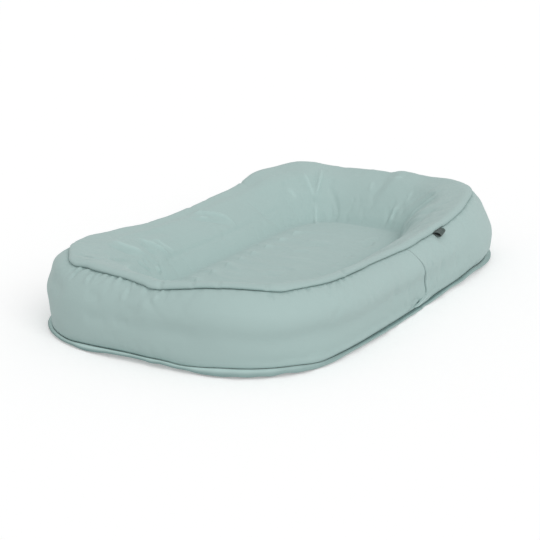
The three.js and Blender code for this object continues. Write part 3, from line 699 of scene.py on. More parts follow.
def join_height(points, reach):
    """The folded join of the near band: a groove, and a rolled edge on its head side."""
    near, away, share, pocket = beside_join(points, reach)
    fade = smooth(share / 0.12) * smooth((1 - share) / 0.08)
    grows = mix(0.3, 1.2, smooth(share / 0.5))
    ridge = 2.2 * bell(away - 3.0, 2.4) - 1.2 * bell(away + 0.8, 1.3)
    slope = 1.1 * bell(away - 9, 8)
    return near * (fade * grows * (ridge + slope) - 5 * pocket)


# Meshes


def linked(name, data):
    """A new object in the scene."""
    made = bpy.data.objects.new(name, data)
    bpy.context.scene.collection.objects.link(made)
    return made


def enlist(made, replaces, body):
    """Hides the nodes that a piece stands for, and hangs it on the body it rides on."""
    if replaces:
        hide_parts(*replaces)
    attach(made, body)
    return made


def grid_places(across, up):
    """Cloth coordinates of a grid, from those of its columns and of its rows."""
    return np.stack(np.meshgrid(across, up), -1)


def bridge(first, second, columns, wraps=True):
    """Faces between two rows of points, given where each starts."""
    j = np.arange(columns if wraps else columns - 1)
    k = (j + 1) % columns
    return np.stack([first + j, first + k, second + k, second + j], -1)


def grid_faces(rows, columns, wraps, start=0):
    starts = start + columns * np.arange(rows)
    return np.concatenate([bridge(a, b, columns, wraps) for a, b in zip(starts, starts[1:])])


def halving_faces(fine, coarse, columns):
    """Faces between a ring of columns and one of half as many, given where each starts."""
    j = np.arange(columns // 2)
    a, b, c = fine + 2 * j, fine + 2 * j + 1, fine + (2 * j + 2) % columns
    d, e = coarse + j, coarse + (j + 1) % (columns // 2)
    return [np.stack(t, -1) for t in ((a, b, d), (b, e, d), (b, c, e))]


class Cloth:
    """Gathers the points, faces and cloth coordinates of one piece."""

    def __init__(self):
        self.points, self.places, self.shade, self.faces = [], [], [], []
        self.count = 0

    def add(self, points, places=None, shade=0.0):
        """Adds points with their cloth coordinates and painted seam shades. Returns the first's
        index.
        """
        points = np.asarray(points, float).reshape(-1, 3)
        self.points.append(points)
        self.places.append(points[:, :2] if places is None else np.reshape(places, (-1, 2)))
        self.shade.append(np.broadcast_to(np.ravel(shade), len(points)))
        self.count += len(points)
        return self.count - len(points)

    def face(self, faces, flip=False):
        faces = np.asarray(faces, int)
        self.faces.append(faces[:, ::-1] if flip else faces)

    def piece(self, name, finish, slot, replaces=()):
        """Makes the gathered mesh a piece of the cushion."""
        mesh = bpy.data.meshes.new(name)
        points = np.concatenate(self.points) * MM
        mesh.vertices.add(len(points))
        mesh.vertices.foreach_set("co", points.ravel())
        loops = np.concatenate([f.ravel() for f in self.faces])
        sizes = np.concatenate([np.full(len(f), f.shape[1]) for f in self.faces])
        mesh.loops.add(len(loops))
        mesh.loops.foreach_set("vertex_index", loops)
        mesh.polygons.add(len(sizes))
        mesh.polygons.foreach_set("loop_start", np.concatenate([[0], np.cumsum(sizes)[:-1]]))
        mesh.update(calc_edges=True)
        layer = mesh.uv_layers.new(name="cloth")
        places = np.concatenate(self.places)[loops] * MM
        layer.data.foreach_set("uv", places.ravel())
        # The seam attribute: painted shade above 0 and painted highlight below 0
        shade = mesh.attributes.new("seam", "FLOAT", "POINT")
        shade.data.foreach_set("value", np.concatenate(self.shade))
        mesh.validate()
        mesh.shade_smooth()
        made = linked(name, mesh)
        mesh.materials.append(finish)
        return enlist(made, replaces, CUSHION)


def grid_normals(points, wraps):
    """Outward directions of a grid whose columns turn left and rows climb."""
    if wraps:
        sideways = np.roll(points, -1, 1) - np.roll(points, 1, 1)
    else:
        sideways = np.gradient(points, axis=1)
    out = np.cross(sideways, np.gradient(points, axis=0))
    return out / np.maximum(np.linalg.norm(out, axis=-1)[..., None], 1e-9)


def edged(shape, dark):
    """Seam shades for a grid of cloth: dark along its first and last rows."""
    shade = np.zeros(shape)
    shade[[0, -1]] = dark
    return shade


def sheet_of(cloth, outer, inner, places, shade, wraps, step=2, closes_last=True):
    """Adds a cloth's two faces and the rims between them. Returns where each face starts."""
    rows, columns = outer.shape[:2]
    first = cloth.add(outer, places, shade)
    cloth.face(grid_faces(rows, columns, wraps, first))
    keep = np.unique(np.append(np.arange(0, rows, step), rows - 1))
    second = cloth.add(inner[keep], places[keep], shade[keep])
    cloth.face(grid_faces(len(keep), columns, wraps, second), flip=True)
    cloth.face(bridge(second, first, columns, wraps))
    if closes_last:
        cloth.face(bridge(first + (rows - 1) * columns, second + (len(keep) - 1) * columns,
                          columns, wraps))
    if not wraps:
        for column, flip in ((0, True), (columns - 1, False)):
            for m in range(len(keep) - 1):
                edge = first + np.arange(keep[m], keep[m + 1] + 1) * columns + column
                inside = second + np.array([m + 1, m]) * columns + column
                cloth.face(np.concatenate([edge, inside])[None], flip)
    return first, second, len(keep)


def floor_edges(fine):
    """Columns of a ring of 40 * fine along the floor's far, near, head and foot edges."""
    i, j = np.arange(12 * fine + 1), np.arange(8 * fine + 1)
    return [columns % (40 * fine)
            for columns in (4 * fine + i, 36 * fine - i, 4 * fine - j, 16 * fine + j)]


def floor_fill(ring, fine):
    """Points inside a ring of 40 * fine columns, in a grid whose edge is the ring."""
    far, near, head, foot = (ring[edge] for edge in floor_edges(fine))
    u = np.linspace(0, 1, len(far))[:, None, None]
    v = np.linspace(0, 1, len(head))[None, :, None]
    along = far[:, None] * (1 - v) + near[:, None] * v + head[None] * (1 - u) + foot[None] * u
    corners = (far[0] * (1 - u) * (1 - v) + far[-1] * u * (1 - v) + near[0] * (1 - u) * v
               + near[-1] * u * v)
    return along - corners


def floor_faces(cloth, ring_start, inside, shade, fine, flip):
    """Adds the points and faces that fill a ring already in the cloth."""
    filling = inside[1:-1, 1:-1]
    start = cloth.add(filling, shade=shade)
    index = np.zeros(inside.shape[:2], int)
    index[1:-1, 1:-1] = start + np.arange(filling[..., 0].size).reshape(filling.shape[:2])
    far, near, head, foot = (ring_start + edge for edge in floor_edges(fine))
    index[:, 0], index[:, -1], index[0], index[-1] = far, near, head, foot
    quads = np.stack([index[:-1, :-1], index[1:, :-1], index[1:, 1:], index[:-1, 1:]], -1)
    cloth.face(quads.reshape(-1, 4), flip)


# Shaders


class Socket:
    """A shader output that takes part in Python sums; each sum adds its Math node."""

    def __init__(self, finish, socket):
        self.finish, self.socket = finish, socket

    def math(self, operation, *values):
        inputs = dict(enumerate(values))
        return self.finish.node("ShaderNodeMath", {"operation": operation}, inputs)

    def __add__(self, other):
        return self.math("ADD", self, other)

    def __sub__(self, other):
        return self.math("SUBTRACT", self, other)

    def __rsub__(self, other):
        return self.math("SUBTRACT", other, self)

    def __mul__(self, other):
        return self.math("MULTIPLY", self, other)

    def __abs__(self):
        return self.math("ABSOLUTE", self)

    def sin(self):
        return self.math("SINE", self)

    def over(self, edge):
        return self.math("GREATER_THAN", self, edge)


class Shading:
    """A node tree under construction."""

    def __init__(self, tree):
        self.tree = tree

    def node(self, kind, settings=None, inputs=None, output=0):
        made = self.tree.nodes.new(kind)
        for key, value in (settings or {}).items():
            setattr(made, key, value)
        for key, value in (inputs or {}).items():
            self.feed(made.inputs[key], value)
        return Socket(self, made.outputs[output]) if made.outputs else made

    def feed(self, socket, value):
        if isinstance(value, Socket):
            self.tree.links.new(value.socket, socket)
        else:
            socket.default_value = value

    def colours(self, share, first, second, how="MIX"):
        return self.node("ShaderNodeMix", {"data_type": "RGBA", "blend_type": how},
                         {0: share, 6: first, 7: second}, 2)

    def noise(self, place, scale, detail=2.0, stretch=(1, 1, 1)):
        moved = self.node("ShaderNodeMapping", {}, {"Vector": place, "Scale": stretch})
        return self.node("ShaderNodeTexNoise", {},
                         {"Vector": moved, "Scale": scale, "Detail": detail})

    def place(self):
        """Places on the piece itself, in metres."""
        return self.node("ShaderNodeTexCoord", output="Object")

    def split(self, vector):
        """The three numbers of a vector."""
        first = self.node("ShaderNodeSeparateXYZ", {}, {0: vector})
        return [Socket(self, output) for output in first.socket.node.outputs]

    def looked_at(self):
        """1 where a ray comes from the camera, a gloss or a clear piece."""
        camera = self.node("ShaderNodeLightPath", output="Is Camera Ray")
        outputs = camera.socket.node.outputs
        glossy, through = (Socket(self, outputs[n]) for n in ("Is Glossy Ray",
                                                              "Is Transmission Ray"))
        return camera.math("MAXIMUM", camera.math("MAXIMUM", camera, glossy), through)


class Finish(Shading):
    """A material under construction, round one Principled shader."""

    def __init__(self, name, **constants):
        self.material = bpy.data.materials.new(name)
        self.material.use_nodes = True
        super().__init__(self.material.node_tree)
        self.tree.nodes.clear()
        self.shader = self.tree.nodes.new("ShaderNodeBsdfPrincipled")
        target = self.tree.nodes.new("ShaderNodeOutputMaterial")
        self.tree.links.new(self.shader.outputs[0], target.inputs["Surface"])
        for key, value in constants.items():
            self.shader.inputs[key.replace("_", " ")].default_value = value

    def finish(self, base=None, roughness=None, bump=None, strength=1.0, distance=0.001):
        if base is not None:
            self.feed(self.shader.inputs["Base Color"], base)
        if roughness is not None:
            self.feed(self.shader.inputs["Roughness"], roughness)
        if bump is not None:
            normal = self.node("ShaderNodeBump", {}, {"Strength": strength, "Distance": distance,
                                                      "Height": bump})
            self.feed(self.shader.inputs["Normal"], normal)
        return self.material


def linear(red, green, blue):
    """A screen colour from 0 to 255 as the shader's own numbers."""
    def one(value):
        value /= 255
        return value / 12.92 if value <= 0.04045 else ((value + 0.055) / 1.055) ** 2.4
    return (one(red), one(green), one(blue), 1.0)


def shade_of(colour, factor):
    return tuple(c * factor for c in colour[:3]) + (1.0,)


# How much lighter the painted highlight on fold crests makes the cloth, at a seam shade of -1
CREST_HIGHLIGHT = 1.22


def woven(name, colour, thread=0.42, relief=0.00012, mottle=0.03, painted_shade_factor=0.42, fuzz=0.2,
          painted_shade_red=0.74):
    """Plain-weave cloth: threads over and under, slubs, soft mottling, painted seam shade and
    painted crest highlight.
    """
    made = Finish(name, Sheen_Weight=fuzz, Sheen_Roughness=0.45, Specular_IOR_Level=0.22)
    place = made.node("ShaderNodeUVMap", {"uv_map": "cloth"})
    u, v, _ = made.split(place)
    pitch = math.pi / (thread * MM)
    drift = made.noise(place, 160, 1.0)
    warp = (u * pitch + drift * 5).sin()
    weft = (v * pitch + drift * 5).sin()
    over = (warp * weft).over(0)
    threads = abs(warp) * over + abs(weft) * (1 - over)
    slubs = (made.noise(place, 900, 2.0, (1, 0.05, 1))
             + made.noise(place, 900, 2.0, (0.05, 1, 1))) * 0.5
    cloud = made.noise(place, 9, 3.0)
    tone = made.colours(cloud, shade_of(colour, 1 - mottle), shade_of(colour, 1 + mottle))
    tone = made.colours(slubs * 0.3, tone, shade_of(colour, 0.86))
    tone = made.colours((1 - threads) * 0.16, tone, shade_of(colour, 0.6))
    line = made.node("ShaderNodeAttribute", {"attribute_name": "seam"}, output="Fac")
    dark = shade_of(colour, painted_shade_factor)
    # Painted shade where the seam attribute is above 0: in the seams and along the binding
    tone = made.colours((line + abs(line)) * 0.5, tone, (dark[0] * painted_shade_red, *dark[1:]))
    # Painted highlight on fold crests where the seam attribute is below 0
    tone = made.colours((abs(line) - line) * 0.5, tone, shade_of(colour, CREST_HIGHLIGHT))
    rough = made.noise(place, 60, 2.0) * 0.12 + 0.78
    return made.finish(tone, rough, threads * 0.7 + slubs * 0.6, 0.35, relief)


# The settings that a user would change


class LoungerSizes(bpy.types.PropertyGroup):
    cover_cloth: bpy.props.FloatProperty(
        name="Cover cloth", description="Thickness of the cover's cotton", default=1.4 * MM,
        min=0.0005, max=0.003, unit="LENGTH")
    lip_size: bpy.props.FloatProperty(
        name="Lip size", description="Size of the rolled lip, as a share of its usual size",
        default=1.0, min=0.4, max=1.5, subtype="FACTOR")
    binding_reach: bpy.props.FloatProperty(
        name="Binding reach", description="How far the folded binding stands out",
        default=7.4 * MM, min=0.005, max=0.012, unit="LENGTH")
    stitch_length: bpy.props.FloatProperty(
        name="Stitch length", description="Length of one topstitch", default=3.0 * MM,
        min=0.0015, max=0.006, unit="LENGTH")


class LoungerColours(bpy.types.PropertyGroup):
    cover: bpy.props.FloatVectorProperty(
        name="Cover", description="Colour of the cotton cover", subtype="COLOR", size=4,
        default=linear(179, 202, 199), min=0, max=1)
    label: bpy.props.FloatVectorProperty(
        name="Label", description="Colour of the loop label", subtype="COLOR", size=4,
        default=linear(50, 72, 67), min=0, max=1)
    ticking: bpy.props.FloatVectorProperty(
        name="Ticking", description="Colour of the inner cases", subtype="COLOR", size=4,
        default=linear(240, 238, 230), min=0, max=1)


def sizes():
    return bpy.context.scene.lounger_sizes


def colours():
    return bpy.context.scene.lounger_colours


FINISHES = {}


def kept(make):
    """Makes a finish once and keeps it for the next piece."""
    def finish():
        if make.__name__ not in FINISHES:
            FINISHES[make.__name__] = make()
        return FINISHES[make.__name__]
    return finish


@kept
def cover_finish():
    return woven("cover_cotton", tuple(colours().cover))


@kept
def binding_finish():
    return woven("binding_cotton", shade_of(colours().cover, 0.97), mottle=0.05)


@kept
def ticking_finish():
    return woven("ticking", tuple(colours().ticking), thread=0.35, relief=0.0001, fuzz=0.1,
                 painted_shade_factor=0.7, painted_shade_red=1.0)


@kept
def label_finish():
    return woven("label_tape", tuple(colours().label), thread=0.5, relief=0.0002, fuzz=0.35)


@kept
def zip_tape_finish():
    return woven("zip_tape", shade_of(colours().cover, 0.72), thread=0.6, relief=0.0002,
                 fuzz=0.15)


@kept
def thread_finish():
    """Twisted sewing thread in the cover's colour."""
    made = Finish("sewing_thread", Sheen_Weight=0.25, Specular_IOR_Level=0.35)
    place = made.place()
    x, y, z = made.split(place)
    twist_length = 0.7 * MM
    twist = ((x + y + z * 2) * (2 * math.pi / twist_length)).sin() * 0.5 + 0.5
    tone = made.colours(twist, shade_of(colours().cover, 0.8), shade_of(colours().cover, 1.06))
    return made.finish(tone, made.noise(place, 700) * 0.2 + 0.55, twist, 0.5, 0.0001)


@kept
def fibre_finish():
    """White polyester fibre: fine crossing hairs and soft tufts."""
    made = Finish("fibre_filling", Sheen_Weight=0.5, Sheen_Roughness=0.6,
                  Specular_IOR_Level=0.15)
    place = made.place()
    drift = made.node("ShaderNodeTexNoise", {}, {"Vector": place, "Scale": 22.0}, 1)
    bent = made.node("ShaderNodeVectorMath", {"operation": "ADD"}, {0: place, 1: drift})
    hair_a = made.noise(bent, 420, 3.0, (1, 0.12, 0.5))
    hair_b = made.noise(bent, 420, 3.0, (0.12, 1, 0.5))
    hairs = abs(hair_a - 0.5) + abs(hair_b - 0.5)
    tuft = made.noise(place, 38, 3.0)
    tone = made.colours(tuft, (0.80, 0.79, 0.75, 1), (0.94, 0.94, 0.92, 1))
    tone = made.colours(hairs, tone, (0.97, 0.97, 0.96, 1))
    return made.finish(tone, tuft * 0.1 + 0.86, hairs * 2 + tuft, 0.6, 0.0006)


@kept
def coil_finish():
    """Dyed nylon, a little worn in patches."""
    made = Finish("nylon_coil", Specular_IOR_Level=0.5)
    place = made.place()
    wear = made.noise(place, 300, 3.0)
    tone = made.colours(wear, shade_of(colours().cover, 0.52), shade_of(colours().cover, 0.66))
    return made.finish(tone, wear * 0.25 + 0.3, made.noise(place, 2400), 0.2, 0.00004)


@kept
def nickel_finish():
    """Tumbled nickel: fine scratches over a soft cloudy grey."""
    made = Finish("nickel", Metallic=1.0, Anisotropic=0.15)
    place = made.place()
    brushed = made.noise(place, 1500, 4.0, (0.06, 1, 1))
    cloud = made.noise(place, 260, 3.0)
    tone = made.colours(cloud, (0.50, 0.50, 0.47, 1), (0.68, 0.67, 0.64, 1))
    tone = made.colours(brushed * 0.35, tone, (0.36, 0.36, 0.34, 1))
    return made.finish(tone, brushed * 0.22 + 0.2, brushed + cloud, 0.25, 0.00005)


# The cover

# Columns in a ring of each cloth, divided by 40
FINE = 16
BAND_FINE = 30
BASE_FINE = 12
CASE_FINE = 6
# How far apart the top panel's rows are
ROW_STEP = 3.3

LABEL_HALF = 15.0
# How much the lip rises over the label
LABEL_LIFT = 2.2
# How far on to the crown the lip takes its direction from
LIP_AHEAD = 14.0


def lip_frame(angle):
    """The top seam, the way across it on to the crown, and the way up from it."""
    seam, _ = dressed_cover(angle, SEAM)
    beyond, _ = dressed_cover(angle, SEAM + LIP_AHEAD, folds=False)
    along = unit(beyond - seam)
    ahead, _ = plain_cover(angle + TURN_STEP, SEAM)
    behind, _ = plain_cover(angle - TURN_STEP, SEAM)
    return seam, along, unit(np.cross(ahead - behind, along))


# Outline of the rolled lip: how far on to the crown and how far up from the seam
LIP_OUTLINE = [(2.8, 0.55), (0.8, 0.65), (-1.0, 1.0), (-2.5, 2.1), (-2.9, 3.8), (-2.2, 5.4),
               (-0.5, 6.7), (2.0, 7.3), (5.0, 7.0), (8.5, 5.7), (12.5, 3.7), (17.5, 1.7),
               (24.0, 0.3)]
# Where the lip is pinched, as lengths round the seam, and how deeply and widely
TUCK_DEPTH, TUCK_WIDTH = 0.42, 2.8
LIP_TUCKS = [around(math.radians(d)) for d in (187, 198, 206, 219, 240, 131, 60, 322)]
# How many more places round it are a little thicker or thinner
LIP_SWELLS = 36


def lip_sizes(angle):
    """How thick the lip is by angle: it swings a little and is pinched at its tucks."""
    draw = np.random.default_rng(5)
    length = around(angle)
    size = 1 + 0.06 * np.sin(length / 41) + 0.05 * np.sin(length / 17.3 + 1)
    for place in LIP_TUCKS:
        size -= TUCK_DEPTH * bell(wrapped(length - place), TUCK_WIDTH)
    for place in draw.uniform(0, ROUND, LIP_SWELLS):
        size += draw.uniform(-0.14, 0.08) * bell(wrapped(length - place), draw.uniform(4, 10))
    return size * sizes().lip_size


def lip_rows(angle):
    """Rows of the rolled lip, from under it out and over on to the crown."""
    seam, along, up = lip_frame(angle)
    size = lip_sizes(angle)
    across = np.abs(seam[:, 0] - LABEL_AT) / LABEL_HALF
    over_label = LABEL_LIFT * smooth((1.6 - across) / 0.5) * (seam[:, 1] < 0)
    rows = []
    for forward, above in LIP_OUTLINE:
        row = seam + along * forward
        if forward > 2:
            cover, _ = dressed_cover(angle, SEAM + forward)
            row = mix(row, cover, smooth((forward - 2) / 8))
        lift = above * size + over_label * smooth((22 - forward) / 16)
        rows.append(row + up * lift[:, None])
    return np.array(rows)


def flat_places(reach, angle):
    """Where the cover's points lie on the cut cloth, before the sides are drawn down."""
    edge = plain_cover(angle, FLOOR_REACH)[0][:, :2]
    ahead = np.roll(edge, -1, 0) - np.roll(edge, 1, 0)
    outward = unit(np.stack([ahead[:, 1], -ahead[:, 0]], -1))
    return edge + outward * (FLOOR_REACH - reach)[:, None, None]


# How dark the painted shade along the top and lower seams is, by angle
TOP_SHADE = [(0, 0.6), (130, 0.6), (142, 0.45), (166, 0.5), (175, 0.7), (184, 0.75), (190, 0.85),
             (196, 0.45), (202, 0.3), (208, 0.22), (214, 0.1), (218, 0.03), (228, 0.03),
             (233, 0.12), (238, 0.6), (243, 0.7), (250, 0.25), (262, 0.3), (271, 0.6), (277, 0.95),
             (288, 1), (298, 0.7), (320, 0.65)]
LOW_SHADE = [(0, 0.8), (60, 0.8), (140, 0.9), (184, 0.9), (193, 0.3), (206, 0.15), (214, 0.2),
             (226, 0.1), (231, 0.05), (236, 1), (252, 1), (300, 1), (306, 0.8), (340, 0.9)]
# Painted shade on the lip's first rows, the first of which lie under it; the rest shade its front
# face
LIP_SHADE = np.array([1, 0.95, 0.85, 0.5, 0.34, 0.2, 0.08])
ROWS_UNDER = 3


def crest_highlight(points):
    """How strong the painted highlight is along the tops of the cloth's narrow folds."""
    narrow = [(width, min(height, 2.4), path) for width, height, path in LAID_FOLDS
              if width < 9 and height > 0.6]
    return 0.45 * np.clip(fold_height(points, narrow, 0.35) / 2.2, 0, 1)


def top_shade(angle, reach):
    """Painted shade of the lip's rows, and painted crease shade and crest highlight of the crown's
    and inner wall's rows at reach.
    """
    line = 0.12 + 0.88 * by_angle(TOP_SHADE, angle)
    lip = np.zeros((len(LIP_OUTLINE), len(angle)))
    lip[:len(LIP_SHADE)] = LIP_SHADE[:, None] * mix(0.5, line, 0.7)
    lip[:ROWS_UNDER] *= line
    plain, _ = plain_cover(*np.meshgrid(angle, reach))
    # Painted shade in the crease at the foot of the inner wall
    hollow = 0.12 * bell(reach - CREASE_REACH + 4, 8)
    return np.concatenate([lip, hollow[:, None] - crest_highlight(plain)])


def floor_of(cloth, ring, start, fine, flip):
    """Fills the top panel's last ring with the creased floor of the nest."""
    inside = floor_fill(ring, fine)
    creases = floor_creases(inside)
    lift = wave_height(inside, SMALL_WAVES) * 0.12 + creases
    inside[1:-1, 1:-1, 2] += lift[1:-1, 1:-1]
    # Painted highlight on the tops of the floor's creases and puffs
    crease_highlight = -0.18 * np.clip(creases / 2.5, 0, 1)
    floor_faces(cloth, start, inside, crease_highlight[1:-1, 1:-1], fine, flip)


def build_top_panel():
    """The cloth over the crown, down the inner wall and across the floor of the nest."""
    angle = ring_angles(FINE)
    count = len(angle)
    lip = lip_rows(angle)
    lip_end = SEAM + LIP_OUTLINE[-1][0]
    reach = np.append(np.arange(lip_end + 3.4, FLOOR_REACH - 1.6, ROW_STEP), FLOOR_REACH)
    upper, _ = dressed_cover(*np.meshgrid(angle, reach))
    rows = np.concatenate([lip, upper])
    inner = rows - grid_normals(rows, True) * sizes().cover_cloth / MM
    shade = top_shade(angle, reach)
    reach = np.concatenate([np.linspace(SEAM - 6, lip_end, len(lip)), reach])
    places = flat_places(reach, angle)
    cloth = Cloth()
    first, second, inner_rows = sheet_of(cloth, rows, inner, places, shade, True,
                                         closes_last=False)
    floor_of(cloth, rows[-1], first + (len(rows) - 1) * count, FINE, False)
    # The lining's floor has half as many columns: its ring lies just under the last one
    half = cloth.add(inner[-1, ::2] - [0, 0, 0.01], places[-1, ::2])
    for faces in halving_faces(second + (inner_rows - 1) * count, half, count):
        cloth.face(faces, True)
    floor_of(cloth, inner[-1, ::2], half, FINE // 2, True)
    made = cloth.piece("top_panel_cloth", cover_finish(), "cover_cotton", ["top_panel"])


# Rows of the side band, up from the lower seam, and those that run on under the lip
BAND_REACH = np.concatenate([[0, 1.2, 2.6], np.linspace(4.5, SEAM - 5.2, 28),
                             [SEAM - 3.4, SEAM - 1.8, SEAM - 0.6, SEAM]])
UNDER_LIP = np.array([1.2, 2.4, 3.4])[:, None, None]
# How far along the side the columns of the band follow its join
JOIN_SPREAD = 95


def band_shade(angle, reach, points):
    """Painted shade of the side band along both its seams and in its join's line and pocket, and
    painted highlight beside the join.
    """
    shade = by_angle(LOW_SHADE, angle) * bell(np.maximum(reach, 0), 1.9)
    shade += 0.8 * by_angle(TOP_SHADE, angle) * bell(np.maximum(SEAM - reach, 0), 1.3)
    near, away, share, pocket = beside_join(points, reach)
    # Painted shade in the join's groove and in its pocket
    dark = mix(0.25, 0.75, smooth(share / 0.5)) + 0.4 * smooth((share - 0.66) / 0.1)
    shade += near * (bell(away + 0.3, 0.8) * smooth(share / 0.1) * dark + pocket)
    # Painted highlight along the rolled edge on the join's head side
    shade -= near * 0.45 * bell(away - 2.3, 1.5) * smooth((share - 0.35) / 0.2)
    return np.clip(shade, -1, 1)


def build_band(name, node, first_column, last_column):
    """One strip of the side band, from the lower seam up to the lip and in under it."""
    angle = ring_angles(BAND_FINE)
    count = len(angle)
    columns = np.arange(first_column, last_column + 1)
    here = angle[columns % count] + 2 * math.pi * (columns // count)
    turned, reach = np.meshgrid(here, BAND_REACH)
    plain, _ = plain_cover(turned, reach)
    off_join = (turned - 1.5 * math.pi) * HALF_LENGTH
    shift = join_shift(plain[..., 2]) * bell(off_join, JOIN_SPREAD)
    turned = turned + shift / HALF_LENGTH
    outer, out = dressed_cover(turned, reach)
    seam, along, up = lip_frame(turned[-1])
    hidden = len(UNDER_LIP)
    outer = np.concatenate([outer, seam + along * UNDER_LIP - up * 0.12])
    out = np.concatenate([out, np.repeat(up[None], hidden, 0)])
    turned = np.concatenate([turned, np.repeat(turned[-1:], hidden, 0)])
    reach = np.concatenate([reach, reach[-1:] + UNDER_LIP[..., 0]])
    for edge, beside in ((0, 1), (-1, -2)):
        outer[:, edge, 0] += 0.2 * np.sign(outer[:, beside, 0] - outer[:, edge, 0])
    places = np.stack([around(turned), reach], -1)
    places[:, columns >= count, 0] += ROUND
    cloth = Cloth()
    sheet_of(cloth, outer, outer - out * sizes().cover_cloth / MM, places,
             band_shade(turned[0], reach, outer), False, 3)
    made = cloth.piece(name, cover_finish(), "cover_cotton", [node])


# The binding

BINDING_CLOTH = 0.8
# How far the strip's root is inside the lower seam, and how far below it
ROOT_IN, ROOT_DOWN = 2.6, 1.35
# How much further than its reach the strip stands out, as its root is inside the seam
ROOT_MORE = 1.4
# Section of the binding: shares out and down of its middle, and the room inside the fold
BINDING_MIDDLE = [(0.02, 0.0, 0.25), (0.2, -0.02, 0.4), (0.42, 0.04, 0.55), (0.62, 0.18, 0.65),
                  (0.8, 0.42, 0.65), (0.94, 0.75, 0.5), (1.0, 1.0, 0.2)]
# Where the unseen far side is made up, by angle, and where the strip takes painted shade under the
# wall's overhang
MADE_UP = [(0, 0.8), (60, 0.7), (120, 0.6), (141, 0), (315, 0), (340, 0.8)]
SHADED_UNDER_WALL = [(0, 0), (228, 0), (237, 1), (296, 1), (306, 0)]


def binding_shape(angle):
    """How far the binding stands out and how high its edge is above the floor, by angle."""
    length = around(angle)
    swing = 0.6 * np.sin(length / 6.1 + 1.3 * np.sin(length / 57))
    swing += 0.55 * np.sin(length / 13.7 + 2 * np.sin(length / 83))
    wavy = by_angle(MADE_UP, angle) * swing
    reach = sizes().binding_reach / MM * (by_angle(REACH_SHARE, angle) + 0.16 * wavy)
    return reach + ROOT_MORE, np.maximum(by_angle(EDGE_HEIGHT, angle) + 0.9 * wavy, 1.1)


def binding_section():
    """Outline of the folded strip: shares out and down, and the distance off its middle line."""
    tops = [(out, down, room + BINDING_CLOTH) for out, down, room in BINDING_MIDDLE]
    fold = [(1.07, 1.09, 0.55), (1.09, 1.12, 0.0), (1.05, 1.09, -0.55)]
    bottoms = [(out, down, -above) for out, down, above in tops]
    inner = [(out, down, above - BINDING_CLOTH) for out, down, above in tops]
    inner_low = [(out, down, -above) for out, down, above in inner]
    return tops + fold + bottoms[::-1] + inner_low + [(1.02, 1.03, 0.0)] + inner[::-1]


def binding_frame(angle):
    """Along the lower seam: the binding's root, the way outward, its reach and its fall."""
    seam, _ = plain_cover(angle, 0)
    ahead, _ = plain_cover(angle + 1e-3, 0)
    outward = unit(np.stack([(ahead - seam)[:, 1], (seam - ahead)[:, 0], 0 * angle], -1))
    reach, edge = binding_shape(angle)
    start = seam - outward * ROOT_IN
    start[:, 2] -= ROOT_DOWN
    return start, outward, reach, np.maximum(start[:, 2] - edge, 0.4)


def binding_points(angle, section):
    """Rows of points along the binding, one for each place of a section of it."""
    start, outward, reach, fall = binding_frame(angle)
    middle = np.array(BINDING_MIDDLE)[:, :2]
    rows = []
    for across, down, off in section:
        k = np.argmin(np.hypot(middle[:, 0] - across, middle[:, 1] - down))
        a, b = middle[max(k - 1, 0)], middle[min(k + 1, len(middle) - 1)]
        run, drop = (b[0] - a[0]) * reach, (b[1] - a[1]) * fall
        size = np.hypot(run, drop)
        row = start + outward * (across * reach + off * drop / size)[:, None]
        row[:, 2] += off * run / size - down * fall
        rows.append(row)
    return np.array(rows)


def folded_strip(points, along, shade=0.0):
    """A strip folded double: rows along it that go once round its section, and closed ends."""
    rows, columns = points.shape[:2]
    steps = np.linalg.norm(np.diff(points[:, 0], axis=0), axis=1)
    cloth = Cloth()
    first = cloth.add(points, grid_places(along, np.concatenate([[0], np.cumsum(steps)])), shade)
    cloth.face(grid_faces(rows, columns, False, first), flip=True)
    cloth.face(bridge(first, first + (rows - 1) * columns, columns, False))
    loop = first + np.arange(rows) * columns
    for column, flip in ((0, False), (columns - 1, True)):
        for k in range(rows // 2 - 1):
            quad = loop[[k, k + 1, rows - 2 - k, rows - 1 - k]] + column
            cloth.face(quad[None], flip)
    return cloth


def build_binding():
    """The folded strip round the lower seam, whose ends meet below the near join."""
    angle = ring_angles(FINE)
    order = (np.arange(len(angle) + 1) + 30 * FINE) % len(angle)
    here = angle[order]
    section = binding_section()
    points = binding_points(here, section)
    points[..., 2] = np.maximum(points[..., 2], 0.1)
    points[:, 0, 0] += 0.4
    points[:, -1, 0] -= 0.4
    low = by_angle(LOW_SHADE, here)
    out = np.array([row[0] for row in section])[:, None]
    # Painted shade: darker towards the strip's outer edge, and where it lies under the wall's
    # overhang darker all over, most at its root
    shade = mix(0.42 * smooth((out - 0.5) / 0.45), 0.66 - 0.32 * out, by_angle(SHADED_UNDER_WALL, here))
    # Painted shade in the lower seam at the strip's root
    shade[[0, -1]] = 0.9 * low
    shade[1] = np.maximum(0.6 * low, shade[1])
    cloth = folded_strip(points, np.unwrap(around(here), period=ROUND), shade)
    made = cloth.piece("edge_binding_strip", binding_finish(), "binding_cotton",
                       ["edge_binding"])


# The label

LABEL_REACH, LABEL_CLOTH = 14.2, 0.7
# How far the label's end hangs, how far its root is over the seam, and how far it curls back
LABEL_DROOP, LABEL_RISE, LABEL_CURL = 2.5, 1.45, 1.3
# The label's upper leg: how far out, share of the droop, and half the room in the loop
LABEL_LEG = [(-0.8, 0, 0.45), (0, 0, 0.45), (2, 0.02, 0.6), (4.5, 0.1, 1.2), (7.5, 0.28, 2.0),
             (10.5, 0.52, 2.3), (12.6, 0.74, 1.8)]
